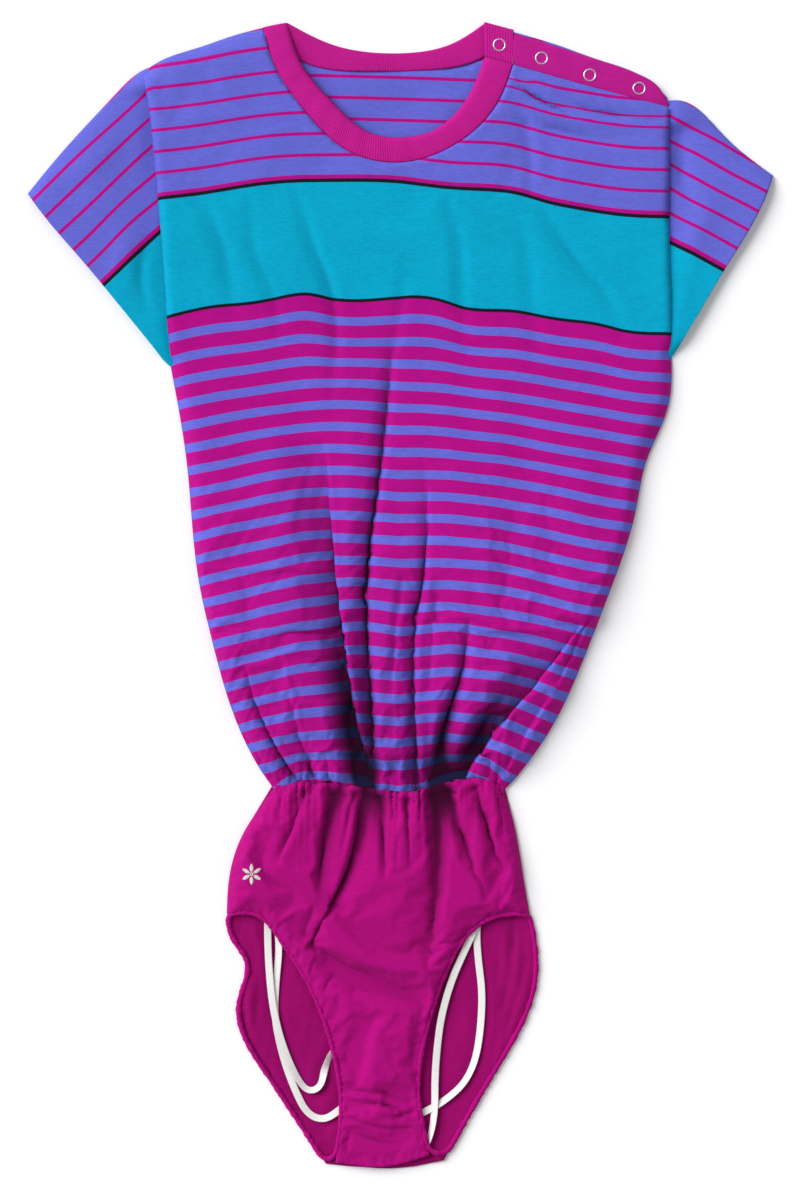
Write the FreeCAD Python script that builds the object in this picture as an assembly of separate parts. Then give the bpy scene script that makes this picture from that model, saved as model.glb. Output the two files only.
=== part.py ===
"""Gymnastics leotard lying flat, front up: a short-sleeved striped bodice on an elastic waist and a brief.

Millimetres. The garment lies on z = 0 with its front towards +Z and its neck towards +Y.
Left and right are the wearer's: the wearer's left is at +X, where the shoulder opens with snaps.
"""
import FreeCAD, Part
import math
import os

os.makedirs("parts", exist_ok=True)

# cloth
CLOTH = 1.0                  # single layer of cotton knit, as it lies
SEAM_ALLOWANCE = 8.0         # width over which front and back are sewn together
HOLLOW_OVERRUN = 3.0         # how far a hollow is carried past an open edge
LAYER_GAP = 0.3              # air between cloth that folds and the cloth it is hinged to
TRIM = 2.0                   # a front panel is shaped this much too large and cut back to its seam lines
SLEEVE_HEIGHT = 9.5          # two layers of a sleeve with the air between them

# waist
WAIST_RIGHT = -104.0
WAIST_LEFT = 86.0
WAIST_TOP = -158.0           # where the bodice is gathered into the casing
CASING_WIDTH = 9.0
CASING_HEIGHT = 12.0
ELASTIC_WIDTH = 6.0
ELASTIC_THICKNESS = 1.0

# shoulder opening on the wearer's left
FLAP_NECK_END = (70.0, 444.8)
FLAP_NECK_CORNER = (93.5, 438.3)
FLAP_ARM_END = (222.0, 403.0)
UNDERLAP_THICKNESS = 1.4
PLACKET_BOTTOM = 4.6
PLACKET_TOP = 6.0

# open-ring snaps, 11 mm size
SNAP_PLACES = [(82.0, 455.0), (117.0, 444.0), (157.0, 430.0), (198.0, 419.0)]
RING_RADIUS = 5.4
RING_HOLE_RADIUS = 3.9
RING_THICKNESS = 0.9
SOCKET_RADIUS = 4.6
SOCKET_BORE_RADIUS = 2.2
SOCKET_THICKNESS = 1.4
STUD_FLANGE_THICKNESS = 0.5
STUD_POST_RADIUS = 1.9
STUD_POST_HEIGHT = 1.3

# leg bindings and what they cover
BINDING_RADIUS = 2.0
BINDING_BORE_RADIUS = 1.2
LEG_ELASTIC_RADIUS = 1.1
BINDING_SIDES = 8
BINDING_STEPS = 12           # straight runs along each half of a leg edge

# hanger tape
TAPE_WIDTH = 6.0
TAPE_THICKNESS = 0.8

# embroidered flower on the brief
MOTIF_CENTRE = (-123.0, -232.0)
MOTIF_PETALS = 6
PETAL_LENGTH = 7.0
PETAL_WIDTH = 3.6
PETAL_RING_RADIUS = 5.4
MOTIF_RAISE = 0.5
MOTIF_SINK = 0.3

# seam lines and edges, seen from above; each list is one smooth curve
RIGHT_SIDE = [(-191, 190), (-177, 106), (-168, 15), (-156, -40), (-137, -104), (-119, -140), (WAIST_RIGHT, WAIST_TOP)]
LEFT_SIDE = [(225, 197), (222, 155), (204, 110), (195, 68), (173, 0), (146, -70), (110, -134), (WAIST_LEFT, WAIST_TOP)]
RIGHT_ARMHOLE = [(-213, 428), (-191, 190)]
LEFT_ARMHOLE = [(222, 403), (225, 197)]
RIGHT_SHOULDER = [(-114, 470), (-213, 428)]
BACK_LEFT_SHOULDER = [(94, 466), (132, 458), (170, 443), (200, 430), (222, 412)]
NECK_SEAM_FRONT = [(-114, 470), (-107, 444), (-79, 399), (-43, 366), (2, 357), (44, 371), (80, 405), (93.5, 438.3)]
NECK_EDGE_FRONT = [(-94, 474), (-84, 442), (-56, 407), (-23, 381), (0, 378), (23, 382), (55, 410), (70, 444.8)]
NECK_SEAM_BACK = [(-114, 470), (-84, 443), (-33, 434), (20, 435), (70, 446), (94, 466)]
NECK_EDGE_BACK = [(-94, 474), (-56, 456), (0, 449), (43, 457), (70, 474)]
PLACKET_EDGE = [(93.5, 465), (127, 454), (165, 442), (195, 431), (222, 411)]

BRIEF_TOP = WAIST_TOP - CASING_WIDTH - LAYER_GAP
RIGHT_HIP = [(-106, BRIEF_TOP), (-119, -180), (-133, -205), (-142, -236), (-144, -266)]
LEFT_HIP = [(86, BRIEF_TOP), (96, -200), (102, -236), (107, -266)]
RIGHT_LEG_FRONT = [(-144, -266), (-119, -266), (-100, -286), (-76, -324), (-57, -374), (-49, -425), (-54, -472)]
LEFT_LEG_FRONT = [(107, -266), (86, -266), (60, -278), (39, -310), (22, -360), (14.5, -415), (24, -466)]
RIGHT_LEG_BACK = [(-144, -266), (-140, -286), (-127, -306), (-134, -338), (-112, -398), (-90, -431), (-62, -474)]
LEFT_LEG_BACK = [(107, -266), (112, -293), (111, -328), (86, -384), (62, -424), (36, -471)]
CROTCH_FRONT = [(-54, -472), (-15, -476), (24, -466)]
CROTCH_BACK = [(-62, -474), (-30, -477), (4, -477), (36, -471)]
LINING = [[(-40, -402), (8, -402)], [(8, -402), (6, -430), (16, -464)], [(16, -464), (-46, -468)],
          [(-46, -468), (-42, -430), (-40, -402)]]

# the front panels bulge off the back: at each Y, the cloth's top at its two edges and at its middle.
# An edge marked True is sewn down to the back there; False is an edge the arm, neck or leg goes through.
BODICE_BULGE = [
    (WAIST_TOP - TRIM, 2.0, True, 2.0, True, 12.0),
    (-134, 2.0, True, 2.0, True, 14.0),
    (-104, 2.0, True, 2.0, True, 15.0),
    (-40, 2.0, True, 2.0, True, 15.0),
    (15, 2.0, True, 2.0, True, 14.0),
    (68, 2.0, True, 2.0, True, 13.0),
    (110, 2.0, True, 2.0, True, 12.0),
    (155, 2.0, True, 2.0, True, 11.0),
    (184, 2.0, True, 2.0, True, 10.5),
    (204, 9.0, False, 9.0, False, 10.0),
    (300, 9.0, False, 9.0, False, 10.0),
    (396, 9.0, False, 8.0, False, 10.0),
    (403, 9.0, False, 6.0, False, 9.5),
    (420, 8.0, False, 6.0, False, 9.0),
    (428, 2.0, True, 6.0, False, 8.5),
    (445, 2.0, True, 6.0, False, 8.0),
    (476, 2.0, True, 6.0, False, 6.0),
]
BRIEF_BULGE = [
    (BRIEF_TOP + TRIM, 2.0, True, 2.0, True, 12.0),
    (-180, 2.0, True, 2.0, True, 12.0),
    (-205, 2.0, True, 2.0, True, 12.0),
    (-236, 2.0, True, 2.0, True, 11.5),
    (-264, 2.0, True, 2.0, True, 11.0),
    (-286, 4.0, False, 4.0, False, 10.0),
    (-306, 6.0, False, 6.0, False, 9.5),
    (-338, 6.0, False, 6.0, False, 9.0),
    (-384, 6.0, False, 6.0, False, 9.0),
    (-424, 6.0, False, 6.0, False, 8.5),
    (-455, 6.0, False, 6.0, False, 8.0),
    (-470, 4.5, False, 4.5, False, 6.5),
    (-478, 3.0, False, 3.0, False, 4.0),
]

# each sleeve is a flat tube; every pair is its under-arm end and its shoulder end at one cross-section
RIGHT_SLEEVE_SECTIONS = [((-191.3, 190), (-213.3, 428)), ((-197, 196), (-309.5, 332))]
LEFT_SLEEVE_SECTIONS = [((225.3, 197), (222.3, 402)), ((227, 200), (250, 401)), ((229, 203), (309.5, 346))]

# hanger tapes: sewn at the waist, down one leg opening, round behind the crotch and back to the waist
RIGHT_TAPE_ROUTE = [
    (-92, -172, 1.4), (-100, -205, 2.2), (-109, -240, 3.0), (-110.5, -275, 3.0), (-109.5, -310, 3.0),
    (-106, -345, 3.0), (-98, -376, 3.0), (-87, -401, 3.0), (-77, -414, 3.0), (-66, -410, 3.0),
    (-63, -394, 3.0), (-57, -380, 3.0), (-45, -373, 3.0), (-33, -380, 2.8), (-30, -397, 2.5),
    (-36, -415, 2.2), (-50, -429, 2.2), (-64, -438, 2.0), (-78, -432, 1.8), (-88, -412, 1.6),
    (-97.5, -386, 1.5), (-105, -352, 1.5), (-103.5, -322, 1.5), (-100.5, -295, 1.5), (-103, -268, 1.5),
    (-98, -235, 1.5), (-90, -203, 1.5), (-83, -172, 1.4),
]
LEFT_TAPE_ROUTE = [
    (62, -172, 1.4), (66, -205, 2.2), (69, -240, 3.0), (64, -274, 3.0), (52, -299, 3.0),
    (42, -322, 3.0), (34, -350, 3.0), (30.5, -376, 3.0), (28.5, -403, 3.0), (28.7, -429, 3.0),
    (25, -452, 2.8), (16, -465, 2.5), (4, -466, 2.4), (-5, -457, 2.3), (-3, -444, 2.2),
    (9, -435, 2.1), (24, -429, 2.0), (40, -419, 1.8), (54, -406, 1.6), (63, -386, 1.5),
    (67, -358, 1.5), (68, -330, 1.5), (64.5, -304, 1.5), (63, -280, 1.5), (66, -250, 1.5),
    (74, -212, 1.5), (77, -172, 1.4),
]


def vector(place, z=0.0):
    return FreeCAD.Vector(*place) if len(place) == 3 else FreeCAD.Vector(place[0], place[1], z)


def curve_through(places, z=0.0):
    """A straight edge through two places, or a smooth one through more."""
    points = [vector(place, z) for place in places]
    if len(points) == 2:
        return Part.LineSegment(points[0], points[1])
    curve = Part.BSplineCurve()
    curve.interpolate(points)
    return curve


def slab(stretches, low, high):
    """A flat piece between two heights, bounded by stretches that join end to end."""
    edges = [curve_through(stretch, low).toShape() for stretch in stretches]
    face = Part.Face(Part.Wire(Part.__sortEdges__(edges)))
    return face.extrude(FreeCAD.Vector(0, 0, high - low))


def edge_x(side, y):
    """Where a side seam, which runs steadily down the garment, crosses a given Y."""
    curve = curve_through(side)
    low, high = curve.LastParameter, curve.FirstParameter
    if y <= curve.value(low).y:
        return curve.value(low).x
    if y >= curve.value(high).y:
        return curve.value(high).x
    for _ in range(40):
        middle = (low + high) / 2
        if curve.value(middle).y < y:
            low = middle
        else:
            high = middle
    return curve.value(high).x


def line_x(line, y):
    """Where the straight line through two places crosses a given Y."""
    (x0, y0), (x1, y1) = line
    return x0 + (x1 - x0) * (y - y0) / (y1 - y0)


def bodice_edges(y):
    if y < RIGHT_SIDE[0][1]:
        right = edge_x(RIGHT_SIDE, y)
    elif y <= RIGHT_ARMHOLE[0][1]:
        right = line_x(RIGHT_ARMHOLE, y)
    else:
        right = line_x(RIGHT_SHOULDER, y)
    if y < LEFT_SIDE[0][1]:
        left = edge_x(LEFT_SIDE, y)
    elif y <= FLAP_ARM_END[1]:
        left = line_x(LEFT_ARMHOLE, y)
    else:
        left = max(line_x([FLAP_NECK_CORNER, FLAP_ARM_END], y), FLAP_NECK_CORNER[0])
    return right, left


def brief_edges(y):
    if y >= RIGHT_HIP[-1][1]:
        return edge_x(RIGHT_HIP, y), edge_x(LEFT_HIP, y)
    return edge_x(RIGHT_LEG_BACK, y), edge_x(LEFT_LEG_BACK, y)


def sections_of(bulge, edges_at):
    """Each station as Y, then X, height and whether it is sewn at the right and left edges, then the crown."""
    sections = []
    for y, right_z, right_sewn, left_z, left_sewn, crown in bulge:
        right_x, left_x = edges_at(y)
        right_x -= TRIM
        left_x += TRIM
        sections.append((y, right_x, right_z, right_sewn, left_x, left_z, left_sewn, crown))
    return sections


def arch_height(right_z, left_z, crown, share):
    """Height of a parabolic arch that passes through both edges and the crown, at a share of its width."""
    handle = 2 * crown - (right_z + left_z) / 2
    return (1 - share) ** 2 * right_z + 2 * share * (1 - share) * handle + share ** 2 * left_z


def arch_wire(y, right_x, right_z, left_x, left_z, crown):
    """A closed section: the back's surface below, an upright edge each side and the arch above."""
    handle = 2 * crown - (right_z + left_z) / 2
    right_foot = FreeCAD.Vector(right_x, y, CLOTH)
    right_top = FreeCAD.Vector(right_x, y, right_z)
    left_foot = FreeCAD.Vector(left_x, y, CLOTH)
    left_top = FreeCAD.Vector(left_x, y, left_z)
    arch = Part.BezierCurve()
    arch.setPoles([right_top, FreeCAD.Vector((right_x + left_x) / 2, y, handle), left_top])
    return Part.Wire([
        Part.makeLine(right_foot, right_top),
        arch.toShape(),
        Part.makeLine(left_top, left_foot),
        Part.makeLine(left_foot, right_foot),
    ])


def bulge_solid(sections, raise_by=0.0):
    """Everything between the back's surface and the top of the front cloth."""
    wires = [
        arch_wire(y, right_x, right_z + raise_by, left_x, left_z + raise_by, crown + raise_by)
        for y, right_x, right_z, _, left_x, left_z, _, crown in sections
    ]
    return Part.makeLoft(wires, True, True)


def inside_edge(section, at_left):
    """X and height of the hollow's edge: past an open edge, or inside the seam allowance of a sewn one."""
    y, right_x, right_z, right_sewn, left_x, left_z, left_sewn, crown = section
    width = left_x - right_x
    if at_left:
        x = left_x - SEAM_ALLOWANCE if left_sewn else left_x + HOLLOW_OVERRUN
        sewn, edge_z = left_sewn, left_z
    else:
        x = right_x + SEAM_ALLOWANCE if right_sewn else right_x - HOLLOW_OVERRUN
        sewn, edge_z = right_sewn, right_z
    if not sewn:
        return x, edge_z - CLOTH
    return x, arch_height(right_z, left_z, crown, (x - right_x) / width) - CLOTH


def bulge_hollow(sections, open_start, open_end):
    """The air under the front cloth, carried past an end that is open and stopped short of a closed one."""
    wires = []
    for number, section in enumerate(sections):
        y = section[0]
        if number == 0:
            y += (section[0] - sections[1][0]) * 0.1 if open_start else 0.0
        if number == len(sections) - 1:
            y += (section[0] - sections[-2][0]) * (0.1 if open_end else -0.4)
        right_x, right_z = inside_edge(section, False)
        left_x, left_z = inside_edge(section, True)
        wires.append(arch_wire(y, right_x, right_z, left_x, left_z, section[-1] - CLOTH))
    return Part.makeLoft(wires, True, True)


def height_on(sections, x, y):
    """Height of the top of the front cloth above a place."""
    for lower, upper in zip(sections, sections[1:]):
        first, second = (lower, upper) if lower[0] < upper[0] else (upper, lower)
        if first[0] <= y <= second[0]:
            share = (y - first[0]) / (second[0] - first[0])
            mix = [a + (b - a) * share for a, b in zip(first, second)]
            across = (x - mix[1]) / (mix[4] - mix[1])
            return arch_height(mix[2], mix[5], mix[7], min(max(across, 0.0), 1.0))
    return CLOTH * 2


def racetrack(start, end, height, inset=0.0):
    """An upright flattened ring between two places: straight below and above, half round at the ends."""
    along = (vector(end) - vector(start)).normalize()
    radius = height / 2
    lift = FreeCAD.Vector(0, 0, radius - inset)
    centre = FreeCAD.Vector(0, 0, radius)
    first = vector(start) + along * radius + centre
    last = vector(end) - along * radius + centre
    return Part.Wire([
        Part.makeLine(first - lift, last - lift),
        Part.Arc(last - lift, last + along * (radius - inset), last + lift).toShape(),
        Part.makeLine(last + lift, first + lift),
        Part.Arc(first + lift, first - along * (radius - inset), first - lift).toShape(),
    ])


def beyond(place, neighbour, share=0.02):
    """A place carried a little further from its neighbour."""
    return tuple(a + (a - b) * share for a, b in zip(place, neighbour))


def sleeve(sections):
    """A flattened tube through its cross-sections, open at the armhole and at the hem."""
    outside = Part.makeLoft([racetrack(a, b, SLEEVE_HEIGHT) for a, b in sections], True, True)
    inner = list(sections)
    inner[0] = tuple(beyond(a, b) for a, b in zip(sections[0], sections[1]))
    inner[-1] = tuple(beyond(a, b) for a, b in zip(sections[-1], sections[-2]))
    inside = Part.makeLoft([racetrack(a, b, SLEEVE_HEIGHT, CLOTH) for a, b in inner], True, True)
    return outside.cut(inside)


def waist_loop(right_x, left_x, top_y, width, bottom_z, height, thickness):
    """An elastic or casing loop lying flattened, its two runs one above the other."""
    outer = racetrack((right_x, top_y), (left_x, top_y), height)
    inner = racetrack((right_x, top_y), (left_x, top_y), height, thickness)
    along = FreeCAD.Vector(0, -width, 0)
    loop = Part.Face(outer).extrude(along).cut(Part.Face(inner).extrude(along))
    loop.translate(FreeCAD.Vector(0, 0, bottom_z))
    return loop


def disc(place, low, high, radius, bore=0.0):
    solid = Part.makeCylinder(radius, high - low, vector(place, low))
    if bore:
        solid = solid.cut(Part.makeCylinder(bore, high - low, vector(place, low)))
    return solid


def stud(place, low):
    """The pressed half of a snap: a flange and a post that clicks into the socket."""
    flange_top = low + STUD_FLANGE_THICKNESS
    flange = disc(place, low, flange_top, SOCKET_RADIUS)
    post = disc(place, flange_top, flange_top + STUD_POST_HEIGHT, STUD_POST_RADIUS)
    return flange.fuse(post).removeSplitter()


def rounded_path(points):
    """Straight runs through points with tangent arcs at the corners, and the radii of those arcs."""
    edges = []
    radii = []
    start = points[0]
    for before, corner, after in zip(points, points[1:], points[2:]):
        back = before - corner
        onward = after - corner
        turn = math.pi - back.getAngle(onward)
        reach = 0.45 * min(back.Length, onward.Length)
        radii.append(reach / math.tan(turn / 2))
        arc_start = corner + back.normalize() * reach
        arc_end = corner + onward.normalize() * reach
        bisector = (back + onward).normalize()
        middle = corner + bisector * (radii[-1] / math.cos(turn / 2) - radii[-1])
        edges.append(Part.makeLine(start, arc_start))
        edges.append(Part.Arc(arc_start, middle, arc_end).toShape())
        start = arc_end
    edges.append(Part.makeLine(start, points[-1]))
    return Part.Wire(edges), radii


def sweep_level(path, section):
    """A section carried along a path without tipping sideways."""
    sweep = Part.BRepOffsetAPI.MakePipeShell(path)
    sweep.setBiNormalMode(FreeCAD.Vector(0, 0, 1))
    sweep.add(section)
    sweep.build()
    sweep.makeSolid()
    return sweep.shape()


def binding_points(front, back, sections):
    """Round one leg opening: along the front cloth, over the crotch fold and up the back to the side seam."""
    front_points = [
        FreeCAD.Vector(x, y, max(height_on(sections, x, y) - CLOTH / 2, BINDING_RADIUS)) for x, y in front
    ]
    back_points = [FreeCAD.Vector(x, y, BINDING_RADIUS) for x, y in reversed(back)]
    points = curve_through(front_points).discretize(Number=BINDING_STEPS)
    points += curve_through(back_points).discretize(Number=BINDING_STEPS)
    last_run = points[-2] - points[-1]
    points[-1] = points[-1] + last_run.normalize() * (2 * BINDING_RADIUS + LAYER_GAP)
    return points


def tube_along(points, radius):
    """A folded strip, eight-sided in section, round the edge that passes through the points."""
    path, _ = rounded_path(points)
    heading = (points[1] - points[0]).normalize()
    across = heading.cross(FreeCAD.Vector(0, 0, 1)).normalize()
    up = across.cross(heading)
    corners = []
    for number in range(BINDING_SIDES + 1):
        angle = 2 * math.pi * number / BINDING_SIDES
        corners.append(points[0] + across * (radius * math.cos(angle)) + up * (radius * math.sin(angle)))
    return sweep_level(path, Part.makePolygon(corners))


def tape(name, route):
    """A flat tape laid along its route, its width kept level."""
    points = [vector(place) for place in route]
    path, radii = rounded_path(points)
    heading = (points[1] - points[0]).normalize()
    across = heading.cross(FreeCAD.Vector(0, 0, 1)).normalize() * (TAPE_WIDTH / 2)
    up = FreeCAD.Vector(0, 0, TAPE_THICKNESS / 2)
    corners = [points[0] + across + up, points[0] - across + up, points[0] - across - up, points[0] + across - up]
    solid = sweep_level(path, Part.makePolygon(corners + corners[:1]))
    expected = TAPE_WIDTH * TAPE_THICKNESS * path.Length
    print(f"{name}: length {path.Length:.0f} mm, volume {solid.Volume / expected:.3f} of section x length")
    print(f"{name}: radii {' '.join(f'{radius:.0f}' for radius in radii)} mm")
    return solid


def petal(number):
    """One stitched petal of the flower, pointing out from its centre."""
    angle = 2 * math.pi * number / MOTIF_PETALS
    out = FreeCAD.Vector(math.cos(angle), math.sin(angle), 0)
    centre = vector(MOTIF_CENTRE) + out * PETAL_RING_RADIUS
    side = FreeCAD.Vector(-out.y, out.x, 0)
    outline = Part.Ellipse(centre + out * (PETAL_LENGTH / 2), centre + side * (PETAL_WIDTH / 2), centre)
    return Part.Face(Part.Wire(outline.toShape())).extrude(FreeCAD.Vector(0, 0, SLEEVE_HEIGHT * 2))


def export(name, shape):
    shape.exportStep(f"parts/{name}.step")
    box = shape.BoundBox
    print(f"{name}: {len(shape.Solids)} solid(s), valid {shape.isValid()}, {shape.Volume:.0f} mm3, "
          f"z {box.ZMin:.2f} to {box.ZMax:.2f}")


ABOVE_ALL = 40.0
bodice_sections = sections_of(BODICE_BULGE, bodice_edges)
brief_sections = sections_of(BRIEF_BULGE, brief_edges)
waist_seam = [(WAIST_RIGHT, WAIST_TOP), (WAIST_LEFT, WAIST_TOP)]

# bodice front and its neckband, cut from one bulging layer
front_layer = bulge_solid(bodice_sections).cut(bulge_hollow(bodice_sections, True, True))
flap_seam = [FLAP_NECK_CORNER, FLAP_ARM_END]
front_plan = [RIGHT_SIDE, waist_seam, LEFT_SIDE, LEFT_ARMHOLE, flap_seam, NECK_SEAM_FRONT, RIGHT_SHOULDER,
              RIGHT_ARMHOLE]
export("front_bodice", front_layer.common(slab(front_plan, CLOTH, ABOVE_ALL)))
band_plan = [NECK_SEAM_FRONT, [NECK_SEAM_FRONT[-1], NECK_EDGE_FRONT[-1]], NECK_EDGE_FRONT,
             [NECK_EDGE_FRONT[0], NECK_SEAM_FRONT[0]]]
export("front_neckband", front_layer.common(slab(band_plan, CLOTH, ABOVE_ALL)))

# bodice back and its neckband
back_plan = [RIGHT_SIDE, waist_seam, LEFT_SIDE, LEFT_ARMHOLE, [LEFT_ARMHOLE[0], BACK_LEFT_SHOULDER[-1]],
             BACK_LEFT_SHOULDER, NECK_SEAM_BACK, RIGHT_SHOULDER, RIGHT_ARMHOLE]
export("back_bodice", slab(back_plan, 0, CLOTH))
back_band_plan = [NECK_SEAM_BACK, [NECK_SEAM_BACK[-1], NECK_EDGE_BACK[-1]], NECK_EDGE_BACK,
                  [NECK_EDGE_BACK[0], NECK_SEAM_BACK[0]]]
export("back_neckband", slab(back_band_plan, 0, CLOTH))

# sleeves
export("right_sleeve", sleeve(RIGHT_SLEEVE_SECTIONS))
export("left_sleeve", sleeve(LEFT_SLEEVE_SECTIONS))

# shoulder opening: the underlap on the back, the placket and neckband tab of the flap over it
underlap_top = CLOTH + UNDERLAP_THICKNESS
underlap_plan = [[(74, 449), (96, 442), (218, 408)], [(218, 408), (218, 413)],
                 [(218, 413), (200, 427), (170, 440), (132, 455), (96, 463)], [(96, 463), (74, 468)],
                 [(74, 468), (74, 449)]]
underlap = slab(underlap_plan, CLOTH, underlap_top)
pocket_top = CLOTH + RING_THICKNESS
for place in SNAP_PLACES:
    underlap = underlap.cut(disc(place, CLOTH, pocket_top, RING_RADIUS + LAYER_GAP / 3))
export("shoulder_underlap", underlap)

flap_shift = FreeCAD.Vector(0, LAYER_GAP, 0)
placket = slab([flap_seam, [FLAP_ARM_END, PLACKET_EDGE[-1]], PLACKET_EDGE, [PLACKET_EDGE[0], FLAP_NECK_CORNER]],
               PLACKET_BOTTOM, PLACKET_TOP)
placket.translate(flap_shift)
export("shoulder_placket", placket)
tab = slab([[FLAP_NECK_END, FLAP_NECK_CORNER], [FLAP_NECK_CORNER, PLACKET_EDGE[0]], [PLACKET_EDGE[0], (70, 474)],
            [(70, 474), FLAP_NECK_END]], PLACKET_BOTTOM, PLACKET_TOP)
tab.translate(flap_shift)
export("neckband_tab", tab)
bar_tack = Part.makeBox(1.4, 5.0, 0.5, FreeCAD.Vector(92.8, 440.0, PLACKET_TOP))
export("tab_bar_tack", bar_tack)

# snaps: ring and socket pressed together through the flap, ring and stud through the underlap
front_rings = []
sockets = []
studs = []
back_rings = []
for place in SNAP_PLACES:
    front_rings.append(disc(place, PLACKET_TOP, PLACKET_TOP + RING_THICKNESS, RING_RADIUS, RING_HOLE_RADIUS))
    sockets.append(disc(place, PLACKET_BOTTOM - SOCKET_THICKNESS, PLACKET_BOTTOM, SOCKET_RADIUS,
                        SOCKET_BORE_RADIUS))
    studs.append(stud(place, underlap_top))
    back_rings.append(disc(place, CLOTH, pocket_top, RING_RADIUS, RING_HOLE_RADIUS))
export("snap_front_rings", Part.makeCompound(front_rings))
export("snap_sockets", Part.makeCompound(sockets))
export("snap_studs", Part.makeCompound(studs))
export("snap_back_rings", Part.makeCompound(back_rings))

# waist: the casing that the bodice is gathered into, and the elastic inside it
casing = waist_loop(WAIST_RIGHT - CLOTH, WAIST_LEFT + CLOTH, WAIST_TOP, CASING_WIDTH, 0, CASING_HEIGHT, CLOTH)
export("waist_casing", casing)
elastic_margin = (CASING_WIDTH - ELASTIC_WIDTH) / 2
elastic_slack = LAYER_GAP / 3
elastic = waist_loop(WAIST_RIGHT + elastic_slack, WAIST_LEFT - elastic_slack, WAIST_TOP - elastic_margin,
                     ELASTIC_WIDTH, CLOTH, CASING_HEIGHT - 2 * CLOTH, ELASTIC_THICKNESS)
export("waist_elastic", elastic)

# brief
brief_layer = bulge_solid(brief_sections).cut(bulge_hollow(brief_sections, True, False))
brief_waist = [RIGHT_HIP[0], LEFT_HIP[0]]
brief_front_plan = [RIGHT_HIP, brief_waist, LEFT_HIP, LEFT_LEG_FRONT, CROTCH_FRONT, RIGHT_LEG_FRONT]
export("front_brief", brief_layer.common(slab(brief_front_plan, CLOTH, ABOVE_ALL)))
brief_back_plan = [RIGHT_HIP, brief_waist, LEFT_HIP, LEFT_LEG_BACK, CROTCH_BACK, RIGHT_LEG_BACK]
export("back_brief", slab(brief_back_plan, 0, CLOTH))
export("crotch_lining", slab(LINING, CLOTH, CLOTH * 1.5))

for side, front, back in [("right", RIGHT_LEG_FRONT, RIGHT_LEG_BACK), ("left", LEFT_LEG_FRONT, LEFT_LEG_BACK)]:
    points = binding_points(front, back, brief_sections)
    binding = tube_along(points, BINDING_RADIUS).cut(tube_along(points, BINDING_BORE_RADIUS))
    export(f"{side}_leg_binding", binding)
    export(f"{side}_leg_elastic", tube_along(points, LEG_ELASTIC_RADIUS))

flower = petal(0)
for number in range(1, MOTIF_PETALS):
    flower = flower.fuse(petal(number))
stitches = bulge_solid(brief_sections, MOTIF_RAISE).cut(bulge_solid(brief_sections, -MOTIF_SINK))
export("embroidered_motif", stitches.common(flower))

export("right_hanger_loop", tape("right_hanger_loop", RIGHT_TAPE_ROUTE))
export("left_hanger_loop", tape("left_hanger_loop", LEFT_TAPE_ROUTE))
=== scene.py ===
"""A gymnastics leotard laid flat on its back: striped bodice, gathered waist, plain brief, snap shoulder.

Left and right are the wearer's, so the snap shoulder is at +X.
"""

import math

import bpy
import numpy as np
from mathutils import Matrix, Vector
from mathutils.geometry import delaunay_2d_cdt


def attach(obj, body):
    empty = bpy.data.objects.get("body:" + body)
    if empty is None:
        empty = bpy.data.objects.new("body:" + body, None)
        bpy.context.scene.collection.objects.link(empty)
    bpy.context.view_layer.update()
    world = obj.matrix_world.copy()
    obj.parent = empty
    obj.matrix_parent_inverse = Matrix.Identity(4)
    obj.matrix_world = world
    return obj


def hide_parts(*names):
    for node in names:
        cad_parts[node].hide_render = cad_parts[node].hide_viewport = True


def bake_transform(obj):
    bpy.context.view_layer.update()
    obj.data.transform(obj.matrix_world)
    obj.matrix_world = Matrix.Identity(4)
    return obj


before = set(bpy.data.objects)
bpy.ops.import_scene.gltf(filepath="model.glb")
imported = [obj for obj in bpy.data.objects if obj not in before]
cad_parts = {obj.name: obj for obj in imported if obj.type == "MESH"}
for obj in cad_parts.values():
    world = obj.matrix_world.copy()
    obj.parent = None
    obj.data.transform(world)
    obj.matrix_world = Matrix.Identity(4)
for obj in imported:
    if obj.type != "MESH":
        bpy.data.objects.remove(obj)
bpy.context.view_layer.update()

MM = 0.001
WAIST_TOP = -158.0
BRIEF_TOP = -158.6
CLOTH = 0.9  # thickness of the knit


def stand_in(piece, node, body=None):
    """Puts a piece in the place of its CAD node and hides the node. With no body, the piece is attached to
    none.
    """
    if body:
        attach(piece, body)
    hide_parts(node)


# ---------------------------------------------------------------- camera

camera = bpy.data.objects.new("camera", bpy.data.cameras.new("camera"))
camera.data.lens = 85.0
camera.data.sensor_width = 36.0
camera.location = (-0.0004, -0.0054, 2.357)
camera.data.clip_start = 0.05
bpy.context.scene.collection.objects.link(camera)
bpy.context.scene.camera = camera


# ---------------------------------------------------------------- hanger tapes

TAPE_WIDTH = 6.0
TAPE_THICKNESS = 0.55
TAPE_LIFT = 1.2
TAPE_SECTION = 20
RIGHT_ROUTE = (
    (-92, -172, 1.4), (-100, -205, 2.2), (-109, -240, 3.0), (-110.5, -275, 3.0), (-109.5, -310, 3.0),
    (-106, -345, 3.0), (-98, -376, 3.0), (-87, -401, 3.0), (-77, -414, 3.0), (-66, -410, 3.0),
    (-63, -394, 3.0), (-57, -380, 3.0), (-45, -373, 3.0), (-33, -380, 2.8), (-30, -397, 2.5),
    (-36, -415, 2.2), (-50, -429, 2.2), (-64, -438, 2.0), (-78, -432, 1.8), (-88, -412, 1.6),
    (-97.5, -386, 1.5), (-105, -352, 1.5), (-103.5, -322, 1.5), (-100.5, -295, 1.5), (-103, -268, 1.5),
    (-98, -235, 1.5), (-90, -203, 1.5), (-83, -172, 1.4),
)
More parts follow.
